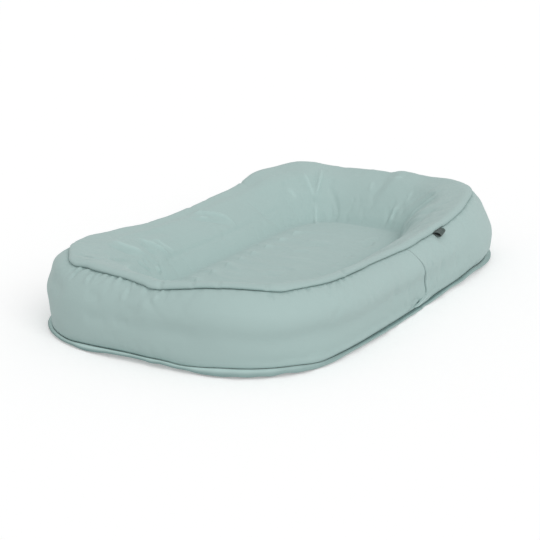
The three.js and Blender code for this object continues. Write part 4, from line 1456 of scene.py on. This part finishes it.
# Its turn outside and inside the loop: how far short of its reach, and the same two
LABEL_TURN = [(0.6, -0.85, 1.7), (0, -0.92, 0.7), (0, -0.95, -0.7), (0.6, -0.95, -1.7)]
LABEL_TURN_INSIDE = [(1.1, -0.9, -0.9), (0.8, -0.9, 0.0), (1.1, -0.88, 0.9)]


def label_outline():
    """Once round the label's section: how far out, share of the droop, and height."""
    top = [(out, -droop, room + LABEL_CLOTH) for out, droop, room in LABEL_LEG]
    turn, inner_turn = ([(LABEL_REACH - short, droop, above) for short, droop, above in table]
                        for table in (LABEL_TURN, LABEL_TURN_INSIDE))
    low = [(out, droop, -above) for out, droop, above in top]
    inside = [(out, droop, above - LABEL_CLOTH) for out, droop, above in top]
    inside_low = [(out, droop, -above) for out, droop, above in inside]
    return top + turn + low[::-1] + inside_low + inner_turn + inside[::-1]


def build_label():
    """A strip of tape folded double into an open loop, standing out from under the lip."""
    across = np.linspace(-1, 1, 25)
    angle = 2 * math.pi - np.arctan2(1, (LABEL_AT + across * LABEL_HALF) / HALF_LENGTH)
    seam, _ = dressed_cover(angle, SEAM - 1.0, folds=False)
    ahead = np.gradient(seam, axis=0)
    outward = unit(np.stack([ahead[:, 1], -ahead[:, 0], 0 * angle], -1))
    droops = LABEL_DROOP - 0.4 * across
    curl = 0.4 * across ** 2 + 1.6 * across - 0.9
    rows = []
    for out, droop, above in label_outline():
        share = np.clip(out / LABEL_REACH, 0, 1)
        row = seam + outward * (out - LABEL_CURL * share * curl)[:, None]
        row[:, 2] += above + droop * droops + LABEL_RISE
        rows.append(row)
    cloth = folded_strip(np.array(rows), across * LABEL_HALF)
    made = cloth.piece("loop_label_tape", label_finish(), "label_tape", ["loop_label"])


# The base

BASE_CLOTH = 1.2
# The base's rounded rim: inset and height. It ends where the base lies flat.
BASE_RIM = [(3.5, 7.2), (5.2, 5.6), (8.0, 3.9), (12.0, 2.4), (18, 1.0), (28, 0.05)]
RIM_END = 28
# The hollow over the zip: distance from the slot, and height
HOLLOW = [(26.5, 0.0), (23, 0.35), (19, 1.3), (15, 2.75), (11, 4.2), (8.5, 5.1), (6.5, 5.5),
          (3, 5.5), (0, 5.5)]
HOLLOW_START = 26.5
# How far the flat counts as going, from the rim to the hollow
FLAT_RUN = 200


def ring_row(inset, height, power):
    """A ring of the base: a plain row of the section, without the dip."""
    return [inset, height, power, 0, 0]


def nest_rows(table):
    """Rings that follow the nest's plan, from a table of inset and height."""
    return [[inset, height, NEST_POWER, 0, 1] for inset, height in table]


def rings(angle, rows):
    """Points of rows of the section all the way round."""
    grid = np.broadcast_to(np.array(rows)[:, None], (len(rows), len(angle), 5))
    return placed(np.broadcast_to(angle, grid.shape[:2]), grid)


def slot_ring(angle, margin, height):
    """The zip slot's outline at a height, or one round it."""
    ux, uy = unit_plan(angle, SLOT_POWER)
    return np.stack([(SLOT_LONG + margin) * ux, (SLOT_WIDE + margin) * uy,
                     np.full(len(angle), height)], -1)


def base_grid(angle):
    """Points of the base from its rim to the zip slot, seen as a map of rows and columns."""
    rim = rings(angle, [ring_row(inset, height, LOW_POWER) for inset, height in BASE_RIM])
    inset = np.array(BASE_RIM)[:, :1]
    lift = by_angle(SEAM_LIFT, angle) * (1 - inset / RIM_END)
    level = BASE_RIM[-1][1]
    rim[..., 2] = np.maximum(rim[..., 2] + lift, level)
    edge, outer = rim[-1], slot_ring(angle, HOLLOW_START, level)
    edge[:, 2] = level
    shares = np.linspace(0, 1, 22)[1:-1]
    flat = [edge * (1 - share) + outer * share for share in shares]
    hollow = [slot_ring(angle, margin, height) for margin, height in HOLLOW]
    where = [*inset[:, 0], *(RIM_END + FLAT_RUN * shares),
             *(RIM_END + FLAT_RUN + HOLLOW_START - margin for margin, height in HOLLOW)]
    return np.array([*rim, *flat, *hollow]), np.array(where)


def base_puckers(points, where, angle):
    """Small creases that rise from the floor: near the rim, along the zip and across the flat."""
    length = around(angle)
    rim = smooth(1 - (where - 8) / 42) * smooth(where / 8)
    folds = np.maximum(np.sin(length / 3.9 + 1.6 * np.sin(length / 31)), -0.2)
    zone = smooth((where - 30) / 40) * smooth((226 - where) / 30)
    flat = points * [1, 1, 0]
    cloud = wave_height(flat, SMALL_WAVES) + wave_height(flat, SOFT_WAVES)
    return 0.75 * rim[:, None] * folds + 0.8 * zone[:, None] * np.maximum(cloud - 0.5, 0)


def build_base_panel(name, node, side):
    """Half of the base, from the rim to the zip, with its underside on the floor."""
    start = math.pi if side < 0 else 0.0
    ring = ring_angles(BASE_FINE)
    half = len(ring) // 2
    first = half if side < 0 else 0
    angle = ring[(first + np.arange(half + 1)) % len(ring)].copy()
    angle[0], angle[-1] = start, start + math.pi
    points, where = base_grid(angle)
    points[..., 2] = np.maximum(points[..., 2] + base_puckers(points, where, angle), 0.02)
    points[:, [0, -1], 1] = 0.2 * side
    upper = points.copy()
    lean = smooth(1 - where / 24)[:, None]
    upper[..., 2] += BASE_CLOTH * (1 - 0.25 * lean)
    upper[..., :2] -= unit(points[..., :2]) * (BASE_CLOTH * 0.7 * lean)[..., None]
    upper[:, [0, -1], 1] = 0.2 * side
    # Painted shade along the base's seams: its rim, its middle join and the zip slot's edge
    shade = np.zeros(points.shape[:2])
    shade[0] = 0.8
    shade[:, [0, -1]] = 0.7
    shade[-1] = 0.5
    cloth = Cloth()
    sheet_of(cloth, points[::-1], upper[::-1], points[::-1, :, :2], shade[::-1], False)
    made = cloth.piece(name, cover_finish(), "cover_cotton", [node])


# The inner cases and the filling

# How far the rows of the cases are apart, and how dark the painted shade along their seams is
CASE_STEP, CASE_SEAM = 6.4, 0.6
# The height of the cases' undersides, and how far the bolster's puffs up
CASE_LEVEL, CASE_PUFF = 1.7, 0.35
# How far inside the cases' outer faces the fibre is, and how far above the bolster's underside
FIBRE_IN, FIBRE_UP = 2.4, 2.6
# The bolster case's rounded lower rim: inset and height. It ends where the case lies flat.
CASE_RIM = [(4.9, 8.8), (7.8, 6.5), (12.4, 4.5), (19, 2.9), (28, 1.9)]
CASE_FLAT_END = 147
FLAT_ROWS, WALL_ROWS = 13, 7


def case_grid(angle, reach, depth):
    """The cover's form without folds, moved inwards."""
    points, out = dressed_cover(*np.meshgrid(angle, reach), folds=False)
    return points - out * depth


def case_floor(angle, raised):
    """Rows of the bolster case's underside and inner wall, from outside in."""
    flat = CASE_LEVEL + raised
    rows = [ring_row(inset, height + raised, LOW_POWER) for inset, height in CASE_RIM]
    rows += [ring_row(inset, flat, mix(LOW_POWER, NEST_POWER,
                                       (inset - RIM_END) / (CASE_FLAT_END - RIM_END)))
             for inset in np.linspace(RIM_END, CASE_FLAT_END, FLAT_ROWS + 1)[1:]]
    wall = CASE_INSET - raised
    rows += nest_rows([(wall - 1.2, flat + 0.7), (wall, flat + 3)])
    rows += [[wall, height, NEST_POWER, 0.13 * height / CREASE, 1]
             for height in np.linspace(8, 36.5, WALL_ROWS)]
    rows = np.array(rows)
    rows[len(CASE_RIM):len(CASE_RIM) + FLAT_ROWS, 4] = np.linspace(0, 1, FLAT_ROWS)
    points = rings(angle, rows)
    rise = by_angle(SEAM_LIFT, angle) * smooth(1 - rows[:, :1] / RIM_END)
    points[..., 2] = np.maximum(points[..., 2] + rise, flat)
    return points


def build_bolster_case():
    """The bolster's two liner rings, sewn together at their edges."""
    angle = ring_angles(CASE_FINE)
    reach = np.concatenate([[2.5, 5], np.arange(11, CASE_EDGE_REACH, CASE_STEP),
                            [CASE_EDGE_REACH]])
    outer = case_grid(angle, reach, CASE_DEPTH)
    inner = case_grid(angle, reach, CASE_DEPTH + CASE_CLOTH)
    under, inside = case_floor(angle, 0.0), case_floor(angle, CASE_CLOTH)
    under[..., 2] += CASE_PUFF * np.maximum(wave_height(under, SMALL_WAVES), 0)
    inside[..., 2] += CASE_PUFF * np.maximum(wave_height(under, SMALL_WAVES), 0)
    for ring, first, second, up, flat, area in (
            ("upper", outer, inner, reach, (0.28, 2.35), 0.5),
            ("lower", under[::-1], inside[::-1], np.arange(len(under)) * 8.0, (0.19, 2.3), 0.36)):
        cloth = Cloth()
        sheet_of(cloth, first, second, grid_places(around(angle), up),
                 edged(first.shape[:2], CASE_SEAM), True)
        made = cloth.piece(f"bolster_case_{ring}", ticking_finish(), "liner_cloth",
                           [f"bolster_liner_{ring}"])


def lumpy(points, seed, size, height):
    """Fibre tufts: rounded lumps of a given size, pushed out along the surface's own direction."""
    draw = np.random.default_rng(seed)
    total = np.zeros(points.shape[:2])
    count = 9
    for scale in (1.0, 0.55):
        for direction in unit(draw.normal(size=(count, 3))):
            total += np.abs(np.sin(points @ direction * math.pi / (size * scale)
                                   + draw.uniform(0, 6))) * scale
    lift = np.clip((total / count - 1.0) * height, -height, 0.15)
    return points + grid_normals(points, True) * lift[..., None]


def build_bolster_filling():
    """The ring of fibre inside the bolster's case."""
    angle = ring_angles(CASE_FINE)
    reach = np.concatenate([[4], np.arange(12, CASE_EDGE_REACH - 4, CASE_STEP),
                            [CASE_EDGE_REACH - 3]])
    upper = case_grid(angle, reach, CASE_DEPTH + FIBRE_IN)
    under = case_floor(angle, FIBRE_UP)[1:-1]
    points = lumpy(np.concatenate([upper, under[::-1]]), 3, 26, 2.6)
    rows, columns = points.shape[:2]
    cloth = Cloth()
    cloth.add(points, grid_places(around(angle), np.arange(rows) * 7.0))
    cloth.face(grid_faces(rows, columns, True))
    cloth.face(bridge((rows - 1) * columns, 0, columns))
    made = cloth.piece("bolster_fibre", fibre_finish(), "fibre_filling", ["bolster_filling"])


# The pad's sides above and below its seam: how much further in than the seam, height, and how
# much higher for each millimetre that the pad is shrunk
PAD_UPPER = [(0, 20.0, 0.3), (0, 27, 0), (0.8, 30.5, -0.4), (4, 33.6, -0.7), (9, 35.3, -1),
             (16, 37.2, -1), (27, 38.0, -1), (39, 38.2, -1)]
PAD_LOWER = [(0, 18.6, -0.3), (0, 8, 0), (1.6, 4.2, 0.4), (4.4, 2.2, 1), (8, CASE_LEVEL, 1)]
# The hollow in the pad over the zip: distance from the slot, and height
PAD_HOLLOW = [(26.5, 1.7), (22, 2.9), (17, 6.1), (12, 9.7), (8.5, 11.7), (6.5, 12.15),
              (3, 12.3), (0, 12.3)]


def pad_side(angle, table, shrink):
    """Rings of the pad's side above or below its seam."""
    return rings(angle, nest_rows((PAD_INSET + shrink + inset, height + gain * shrink)
                                  for inset, height, gain in table))


def pad_under(angle, shrink):
    """The pad's underside: out to in, with its hollow over the zip."""
    rim = pad_side(angle, PAD_LOWER, shrink)
    outer = slot_ring(angle, HOLLOW_START, 0.0)[:, :2]
    rows = list(rim)
    for share in np.linspace(0, 1, 8)[1:-1]:
        row = rim[-1].copy()
        row[:, :2] = row[:, :2] * (1 - share) + outer * share
        rows.append(row)
    rows += [slot_ring(angle, margin, height + shrink) for margin, height in PAD_HOLLOW]
    return np.array(rows)


def filled_rings(cloth, points, fine, flip, bulge):
    """Adds rings of points and fills the last with a softly uneven floor."""
    rows, columns = points.shape[:2]
    start = cloth.add(points)
    cloth.face(grid_faces(rows, columns, True, start), flip)
    inside = floor_fill(points[-1], fine)
    inside[1:-1, 1:-1, 2] += bulge * wave_height(inside[1:-1, 1:-1], SMALL_WAVES)
    floor_faces(cloth, start + (rows - 1) * columns, inside, 0.0, fine, flip)
    return start


def build_pad():
    """The pad's two liner panels and its filling."""
    fine = CASE_FINE // 2
    angle = ring_angles(fine)
    sides = [[pad_side(angle, PAD_UPPER, shrink), pad_under(angle, shrink)]
             for shrink in (0.0, CASE_CLOTH, FIBRE_IN)]
    for side, flip in (("upper", False), ("lower", True)):
        cloth = Cloth()
        first, second = (filled_rings(cloth, points[flip], fine, turned, 0.12)
                         for points, turned in ((sides[0], flip), (sides[1], not flip)))
        cloth.face(bridge(second, first, len(angle)), flip)
        made = cloth.piece(f"pad_case_{side}", ticking_finish(), "liner_cloth",
                           [f"pad_liner_{side}"])
    upper = lumpy(sides[2][0], 4, 24, 1.2)
    lower = lumpy(sides[2][1][::-1], 5, 24, 0.8)[::-1]
    cloth = Cloth()
    first, second = (filled_rings(cloth, points, fine, flip, 0.4)
                     for points, flip in ((upper, False), (lower, True)))
    cloth.face(bridge(second, first, len(angle)))
    made = cloth.piece("pad_fibre", fibre_finish(), "fibre_filling", ["pad_filling"])


# The zip

# Rows across a tape: distance from the zip's middle, and how much thicker it is there
TAPE_ROWS = [(3.5, 0.05), (3.7, 0.16), (4.3, 0.2), (5.0, 0.08), (5.6, 0), (7.5, 0), (9.5, 0),
             (11.5, 0), (12.8, 0.02), (13.4, 0.05), (13.5, 0.03)]
TAPE_HALF = 0.3
COIL_PITCH, COIL_STEPS, COIL_MIDDLE = 2.2, 9, 1.95
# Half the coil's width and height, and the radius of its wire and of the cord in it
COIL_WIDE, COIL_TALL, COIL_WIRE, COIL_CORE = 0.86, 0.7, 0.36, 0.3
STOP_LONG, STOP_WIDE, STOP_HALF = 3, 3.2, 1.9
# A stop's slot for the tape: half its height, and how far from the zip's middle it ends
STOP_SLOT, STOP_ROOT = 0.42, 1.5
# How far from the zip's middle a stop on one tape ends
STOP_NEAR = 0.7


def build_zip_tape(name, node, side):
    """A woven tape with a thicker cord edge beside the coil and a soft outer edge."""
    x = np.linspace(-ZIP_HALF - 6, ZIP_HALF + 6, 145)
    across, swell = np.array(TAPE_ROWS).T
    wave = 0.05 * np.sin(x / 19) + 0.04 * np.sin(x / 7.3 + 1)
    y = np.repeat(side * across[:, None], len(x), 1)
    level = ZIP_LEVEL + wave * (across[:, None] - across[0]) / 10
    half = TAPE_HALF + swell[:, None]
    upper, lower = (np.stack([np.broadcast_to(x, y.shape), y, level + z], -1)
                    for z in (half, -half))
    order = slice(None, None, side)
    cloth = Cloth()
    sheet_of(cloth, upper[order], lower[order], grid_places(x, across)[order],
             np.zeros(y.shape), False)
    made = cloth.piece(name, zip_tape_finish(), "zip_tape", [node])


def tube_round(cloth, path, radius, sides):
    """Adds a tube round a path, with closed ends."""
    ahead = unit(np.gradient(path, axis=0))
    first = unit(np.cross(ahead, [0.31, 0.9, 0.3]))
    second = np.cross(ahead, first)
    turn = np.linspace(0, 2 * math.pi, sides, endpoint=False)[:, None]
    ring = np.cos(turn) * first[:, None] + np.sin(turn) * second[:, None]
    start = cloth.add(path[:, None] + ring * radius)
    cloth.face(grid_faces(len(path), sides, True, start))
    ends = np.arange(sides)
    cloth.face((start + ends)[::-1][None])
    cloth.face((start + (len(path) - 1) * sides + ends)[None])


def build_zip_coil(name, node, side):
    """A nylon spiral round a core cord, turn beside turn along the tape's edge."""
    half = ZIP_HALF - STOP_LONG - 0.5
    turns = int((2 * half - 1) / COIL_PITCH)
    t = np.linspace(0, turns, turns * COIL_STEPS + 1)
    phase = 2 * math.pi * t
    spiral = np.column_stack([
        -turns * COIL_PITCH / 2 + t * COIL_PITCH + 0.35 * np.sin(2 * phase),
        side * (COIL_MIDDLE - COIL_WIDE * np.cos(phase)),
        ZIP_LEVEL + COIL_TALL * np.sin(phase) * (1 + 0.12 * np.cos(phase))])
    core = np.linspace((-half, side * COIL_MIDDLE, ZIP_LEVEL),
                       (half, side * COIL_MIDDLE, ZIP_LEVEL), 60)
    cloth = Cloth()
    tube_round(cloth, spiral, COIL_WIRE, 5)
    tube_round(cloth, core, COIL_CORE, 6)
    cloth.piece(name, coil_finish(), "zip_coil", [node])


def bevelled(made, width):
    """Rounds the edges of a hard piece, and keeps its sharper edges crisp."""
    form = made.modifiers.new("rounding", "BEVEL")
    form.width = width * MM
    form.segments = 2
    form.limit_method = "ANGLE"
    form.angle_limit = math.radians(32)
    bpy.context.view_layer.update()
    seen = made.evaluated_get(bpy.context.evaluated_depsgraph_get())
    made.data = rounded = bpy.data.meshes.new_from_object(seen)
    made.modifiers.clear()
    rounded.shade_smooth()
    shape = bmesh.new()
    shape.from_mesh(rounded)
    sharp = [abs(edge.calc_face_angle(0)) > 0.9 for edge in shape.edges]
    shape.free()
    rounded.attributes.new("sharp_edge", "BOOLEAN", "EDGE").data.foreach_set("value", sharp)


def hard_piece(name, node, shape, body, width):
    """Makes a bevelled metal piece from a shape and lets it stand for its node."""
    mesh = bpy.data.meshes.new(name)
    shape.to_mesh(mesh)
    shape.free()
    made = linked(name, mesh)
    mesh.materials.append(nickel_finish())
    bevelled(made, width)
    enlist(made, [node], body)


def clamp(name, node, ends, sides):
    """A metal stop pressed round the tape's edge, with a slot on each side that holds tape."""
    slot_low, slot_high = ZIP_LEVEL - STOP_SLOT, ZIP_LEVEL + STOP_SLOT
    far = [(STOP_WIDE, ZIP_LEVEL - STOP_HALF), (STOP_WIDE, slot_low), (STOP_ROOT, slot_low),
           (STOP_ROOT, slot_high), (STOP_WIDE, slot_high), (STOP_WIDE, ZIP_LEVEL + STOP_HALF)]
    if sides == 2:
        near = [(-y, z) for y, z in far[::-1]]
        outline = near[-1:] + far + near[:-1]
    else:
        outline = [(STOP_NEAR, far[0][1]), *far, (STOP_NEAR, far[-1][1])]
    if sides < 0:
        outline = [(-y, z) for y, z in outline][::-1]
    shape = bmesh.new()
    first, last = ([shape.verts.new((x * MM, y * MM, z * MM)) for y, z in outline] for x in ends)
    shape.faces.new(first[::-1])
    shape.faces.new(last)
    for i, k in enumerate([*range(1, len(outline)), 0]):
        shape.faces.new([first[i], first[k], last[k], last[i]])
    bmesh.ops.recalc_face_normals(shape, faces=shape.faces)
    hard_piece(name, node, shape, CUSHION, 0.35)


def rounded_copy(name, node, width):
    """The frame's own hard shape on its own body, with its edges rounded."""
    shape = bmesh.new()
    source = bpy.data.objects[node]
    shape.from_mesh(source.data)
    bmesh.ops.transform(shape, matrix=source.matrix_world, verts=shape.verts)
    bmesh.ops.remove_doubles(shape, verts=shape.verts, dist=1e-6)
    bmesh.ops.dissolve_limit(shape, angle_limit=math.radians(2), verts=shape.verts,
                             edges=shape.edges)
    hard_piece(name, node, shape, node, width)


def build_zip_hardware():
    """The stops, the slider and its pull."""
    top, bottom = (ZIP_HALF - STOP_LONG, ZIP_HALF), (-ZIP_HALF, -ZIP_HALF + STOP_LONG)
    clamp("zip_top_clamp_near", "zip_top_stop_near", top, -1)
    clamp("zip_top_clamp_far", "zip_top_stop_far", top, 1)
    clamp("zip_bottom_clamp", "zip_bottom_stop", bottom, 2)
    rounded_copy("zip_slider_body", "zip_slider", 0.3)
    rounded_copy("zip_pull_tab", "zip_pull", 0.22)


# Stitches

# From one stitch to the next, as a share of a stitch
STITCH_GAP = 1.28
# The thread's width, and how much wider and flatter than round it lies
THREAD, THREAD_WIDE, THREAD_TALL = 0.42, 1.1, 0.8
# Along a stitch: share of its length, height over the cloth, and share of the thread's width
STITCH = np.array([(0, -0.35, 0.6), (0.16, 0.12, 1), (0.5, 0.22, 1), (0.84, 0.12, 1),
                   (1, -0.35, 0.6)])
THREAD_SIDES = 5


def stitches(name, path, up, slot="binding_cotton"):
    """A row of stitches along a path, each a short thread that dives in at both ends."""
    steps = np.linalg.norm(np.diff(path, axis=0), axis=1)
    run = np.concatenate([[0], np.cumsum(steps)])
    length = sizes().stitch_length / MM
    count = int(run[-1] / (length * STITCH_GAP))
    starts = (np.arange(count) + 0.5) * run[-1] / count - length / 2
    share, sink, swell = STITCH.T
    at = starts[:, None] + share * length
    middle, lift = (np.stack([np.interp(at, run, values[:, i]) for i in range(3)], -1)
                    for values in (path, up))
    lift = unit(lift)
    middle = middle + lift * sink[None, :, None]
    ahead = unit(np.gradient(middle, axis=1))
    turn = (np.arange(THREAD_SIDES) * 2 * math.pi / THREAD_SIDES)[:, None]
    ring = (np.cos(turn) * np.cross(ahead, lift)[:, :, None] * THREAD_WIDE
            + np.sin(turn) * lift[:, :, None] * THREAD_TALL)
    grid = middle[:, :, None] + ring * (swell * THREAD / 2)[None, :, None, None]
    grid[..., 2] = np.maximum(grid[..., 2], 0.05)
    cloth = Cloth()
    cloth.add(grid)
    one = grid_faces(len(STITCH), THREAD_SIDES, True)
    each = np.arange(count)[:, None, None] * len(STITCH) * THREAD_SIDES
    cloth.face((each + one).reshape(-1, 4), flip=True)
    cloth.piece(name, thread_finish(), slot)


# Where on the binding its stitches run: shares out and down of its middle
STITCH_LINE = (0.7, 0.5)


def build_stitching():
    """The topstitching on the binding and beside the zip."""
    angle = np.linspace(1.5 * math.pi + 0.004, 3.5 * math.pi - 0.004, 2400)
    room = BINDING_MIDDLE[3][2]
    line = binding_points(angle, [(*STITCH_LINE, room + BINDING_CLOTH),
                                  (*STITCH_LINE, room - 0.2)])
    stitches("binding_stitches", line[0], line[0] - line[1])
    end, aside, level, count = SLOT_LONG - 6, SLOT_WIDE + 3.2, 5.45, 300
    for side, name in ((-1, "near"), (1, "far")):
        path = np.linspace((-end, side * aside, level), (end, side * aside, level), count)
        stitches(f"zip_stitches_{name}", path, np.tile([0, 0, -1.0], (count, 1)), "cover_cotton")


# The stage

AIR_LIGHT = 0.64
KEY_LIGHT = 1.0
KEY_FROM = (-0.35, -0.6, 0.55)
KEY_SOFTNESS = 40
FLOOR_HALF, FLOOR_DEPTH = 40.0, -0.0004
# The camera as fitted to the photo: degrees, metres from the middle, and metres off it
AZIMUTH, ELEVATION, DISTANCE = -60.05, 17.58, 2.5708
LENS = 100.1
AIM_RIGHT, AIM_UP = -0.0267, 0.0264


def build_world():
    """White air that gives a soft light, and looks plain white."""
    world = bpy.data.worlds.new("studio_air")
    bpy.context.scene.world = world
    world.use_nodes = True
    world.node_tree.nodes.clear()
    air = Shading(world.node_tree)
    light, backdrop = (air.node("ShaderNodeBackground", {},
                                {"Color": (1, 1, 1, 1), "Strength": strength})
                       for strength in (AIR_LIGHT, 1.0))
    both = air.node("ShaderNodeMixShader", {}, {0: air.looked_at(), 1: light, 2: backdrop})
    air.node("ShaderNodeOutputWorld", {}, {"Surface": both})


def build_floor():
    """A white floor that takes a soft shadow."""
    mesh = bpy.data.meshes.new("studio_floor")
    corners = [(-1, -1), (1, -1), (1, 1), (-1, 1)]
    mesh.from_pydata([(x * FLOOR_HALF, y * FLOOR_HALF, FLOOR_DEPTH) for x, y in corners], [],
                     [(0, 1, 2, 3)])
    floor = linked("studio_floor", mesh)
    made = Finish("studio_floor", Base_Color=(0.84, 0.84, 0.84, 1), Roughness=1.0,
                  Specular_IOR_Level=0.0)
    plain = Socket(made, made.shader.outputs[0])
    glow = made.node("ShaderNodeEmission", {}, {"Color": (1, 1, 1, 1), "Strength": 0.3})
    lifted = made.node("ShaderNodeAddShader", {}, {0: plain, 1: glow})
    both = made.node("ShaderNodeMixShader", {}, {0: made.looked_at(), 1: plain, 2: lifted})
    target = next(n for n in made.tree.nodes if n.type == "OUTPUT_MATERIAL")
    made.tree.links.new(both.socket, target.inputs["Surface"])
    mesh.materials.append(made.material)


def build_camera():
    azimuth, elevation = math.radians(AZIMUTH), math.radians(ELEVATION)
    back = np.array([math.sin(azimuth) * math.cos(elevation),
                     -math.cos(azimuth) * math.cos(elevation), math.sin(elevation)])
    right = np.array([math.cos(azimuth), math.sin(azimuth), 0])
    view = bpy.data.cameras.new("camera")
    view.lens = LENS
    view.sensor_width = 36
    view.clip_end = 200
    camera = linked("camera", view)
    camera.location = back * DISTANCE
    target = AIM_RIGHT * right + AIM_UP * np.cross(back, right)
    aim(camera, back * DISTANCE - target)
    bpy.context.scene.camera = camera


def build_stage():
    build_world()
    key = bpy.data.lights.new("key_light", "SUN")
    key.energy = KEY_LIGHT
    key.angle = math.radians(KEY_SOFTNESS)
    aim(linked("key_light", key), KEY_FROM)
    build_floor()
    build_camera()
    bpy.context.scene.view_settings.view_transform = "Standard"


def aim(item, toward):
    """Turns a lamp or camera so that it looks from toward, back along it."""
    item.rotation_mode = "QUATERNION"
    item.rotation_quaternion = Vector(toward).to_track_quat("Z", "Y")


class LOUNGER_OT_top_panel(bpy.types.Operator):
    """Build the top panel with its rolled lip"""
    bl_idname = "lounger.top_panel"
    bl_label = "Top Panel"

    def execute(self, context):
        build_top_panel()
        return {"FINISHED"}


class LOUNGER_OT_side_bands(bpy.types.Operator):
    """Build both strips of the side band"""
    bl_idname = "lounger.side_bands"
    bl_label = "Side Bands"

    def execute(self, context):
        count = 40 * BAND_FINE
        build_band("side_band_foot_cloth", "side_band_foot", count // 4, 3 * count // 4)
        build_band("side_band_head_cloth", "side_band_head", 3 * count // 4, 5 * count // 4)
        return {"FINISHED"}


class LOUNGER_OT_binding(bpy.types.Operator):
    """Build the folded binding round the lower seam"""
    bl_idname = "lounger.binding"
    bl_label = "Binding"

    def execute(self, context):
        build_binding()
        return {"FINISHED"}


class LOUNGER_OT_base(bpy.types.Operator):
    """Build both halves of the base"""
    bl_idname = "lounger.base"
    bl_label = "Base"

    def execute(self, context):
        build_base_panel("base_panel_near_cloth", "base_panel_near", -1)
        build_base_panel("base_panel_far_cloth", "base_panel_far", 1)
        return {"FINISHED"}


class LOUNGER_OT_label(bpy.types.Operator):
    """Build the loop label in the top seam"""
    bl_idname = "lounger.label"
    bl_label = "Loop Label"

    def execute(self, context):
        build_label()
        return {"FINISHED"}


class LOUNGER_OT_bolster(bpy.types.Operator):
    """Build the bolster's case and filling"""
    bl_idname = "lounger.bolster"
    bl_label = "Bolster"

    def execute(self, context):
        build_bolster_case()
        build_bolster_filling()
        return {"FINISHED"}


class LOUNGER_OT_pad(bpy.types.Operator):
    """Build the pad's case and filling"""
    bl_idname = "lounger.pad"
    bl_label = "Pad"

    def execute(self, context):
        build_pad()
        return {"FINISHED"}


class LOUNGER_OT_zip(bpy.types.Operator):
    """Build the zip: tapes, coils, stops, slider and pull"""
    bl_idname = "lounger.zip"
    bl_label = "Zip"

    def execute(self, context):
        for name, side in (("near", -1), ("far", 1)):
            build_zip_tape(f"zip_tape_{name}_cloth", f"zip_tape_{name}", side)
            build_zip_coil(f"zip_coil_{name}_spiral", f"zip_coil_{name}", side)
        build_zip_hardware()
        return {"FINISHED"}


class LOUNGER_OT_stitching(bpy.types.Operator):
    """Sew the topstitching on the binding and beside the zip"""
    bl_idname = "lounger.stitching"
    bl_label = "Stitching"

    def execute(self, context):
        build_stitching()
        return {"FINISHED"}


class LOUNGER_OT_stage(bpy.types.Operator):
    """Set up the floor, light and camera"""
    bl_idname = "lounger.stage"
    bl_label = "Stage"

    def execute(self, context):
        build_stage()
        return {"FINISHED"}


class LOUNGER_OT_settle(bpy.types.Operator):
    """Settle the cover over its filling by cloth simulation"""
    bl_idname = "lounger.settle"
    bl_label = "Settle the Cover"

    def execute(self, context):
        simulate_cover()
        return {"FINISHED"}


STEPS = [LOUNGER_OT_settle, LOUNGER_OT_top_panel, LOUNGER_OT_side_bands, LOUNGER_OT_binding,
         LOUNGER_OT_base, LOUNGER_OT_label, LOUNGER_OT_bolster, LOUNGER_OT_pad, LOUNGER_OT_zip,
         LOUNGER_OT_stitching, LOUNGER_OT_stage]


class LOUNGER_PT_pieces(bpy.types.Panel):
    """The lounger's settings and the steps that build it"""
    bl_idname = "LOUNGER_PT_pieces"
    bl_label = "Infant Lounger"
    bl_space_type = "VIEW_3D"
    bl_region_type = "UI"
    bl_category = "Lounger"

    def draw(self, context):
        for group in (sizes(), colours()):
            box = self.layout.box()
            for name in group.bl_rna.properties.keys():
                if name not in {"rna_type", "name"}:
                    box.prop(group, name)
        for step in STEPS:
            self.layout.operator(step.bl_idname)


CLASSES = [LoungerSizes, LoungerColours, *STEPS, LOUNGER_PT_pieces]


def register():
    for item in CLASSES:
        bpy.utils.register_class(item)
    bpy.types.Scene.lounger_sizes = bpy.props.PointerProperty(type=LoungerSizes)
    bpy.types.Scene.lounger_colours = bpy.props.PointerProperty(type=LoungerColours)


def unregister():
    del bpy.types.Scene.lounger_sizes
    del bpy.types.Scene.lounger_colours
    for item in reversed(CLASSES):
        bpy.utils.unregister_class(item)


def main():
    register()
    for step in STEPS:
        getattr(bpy.ops.lounger, step.bl_idname.split(".")[1])()


if __name__ == "__main__":
    main()
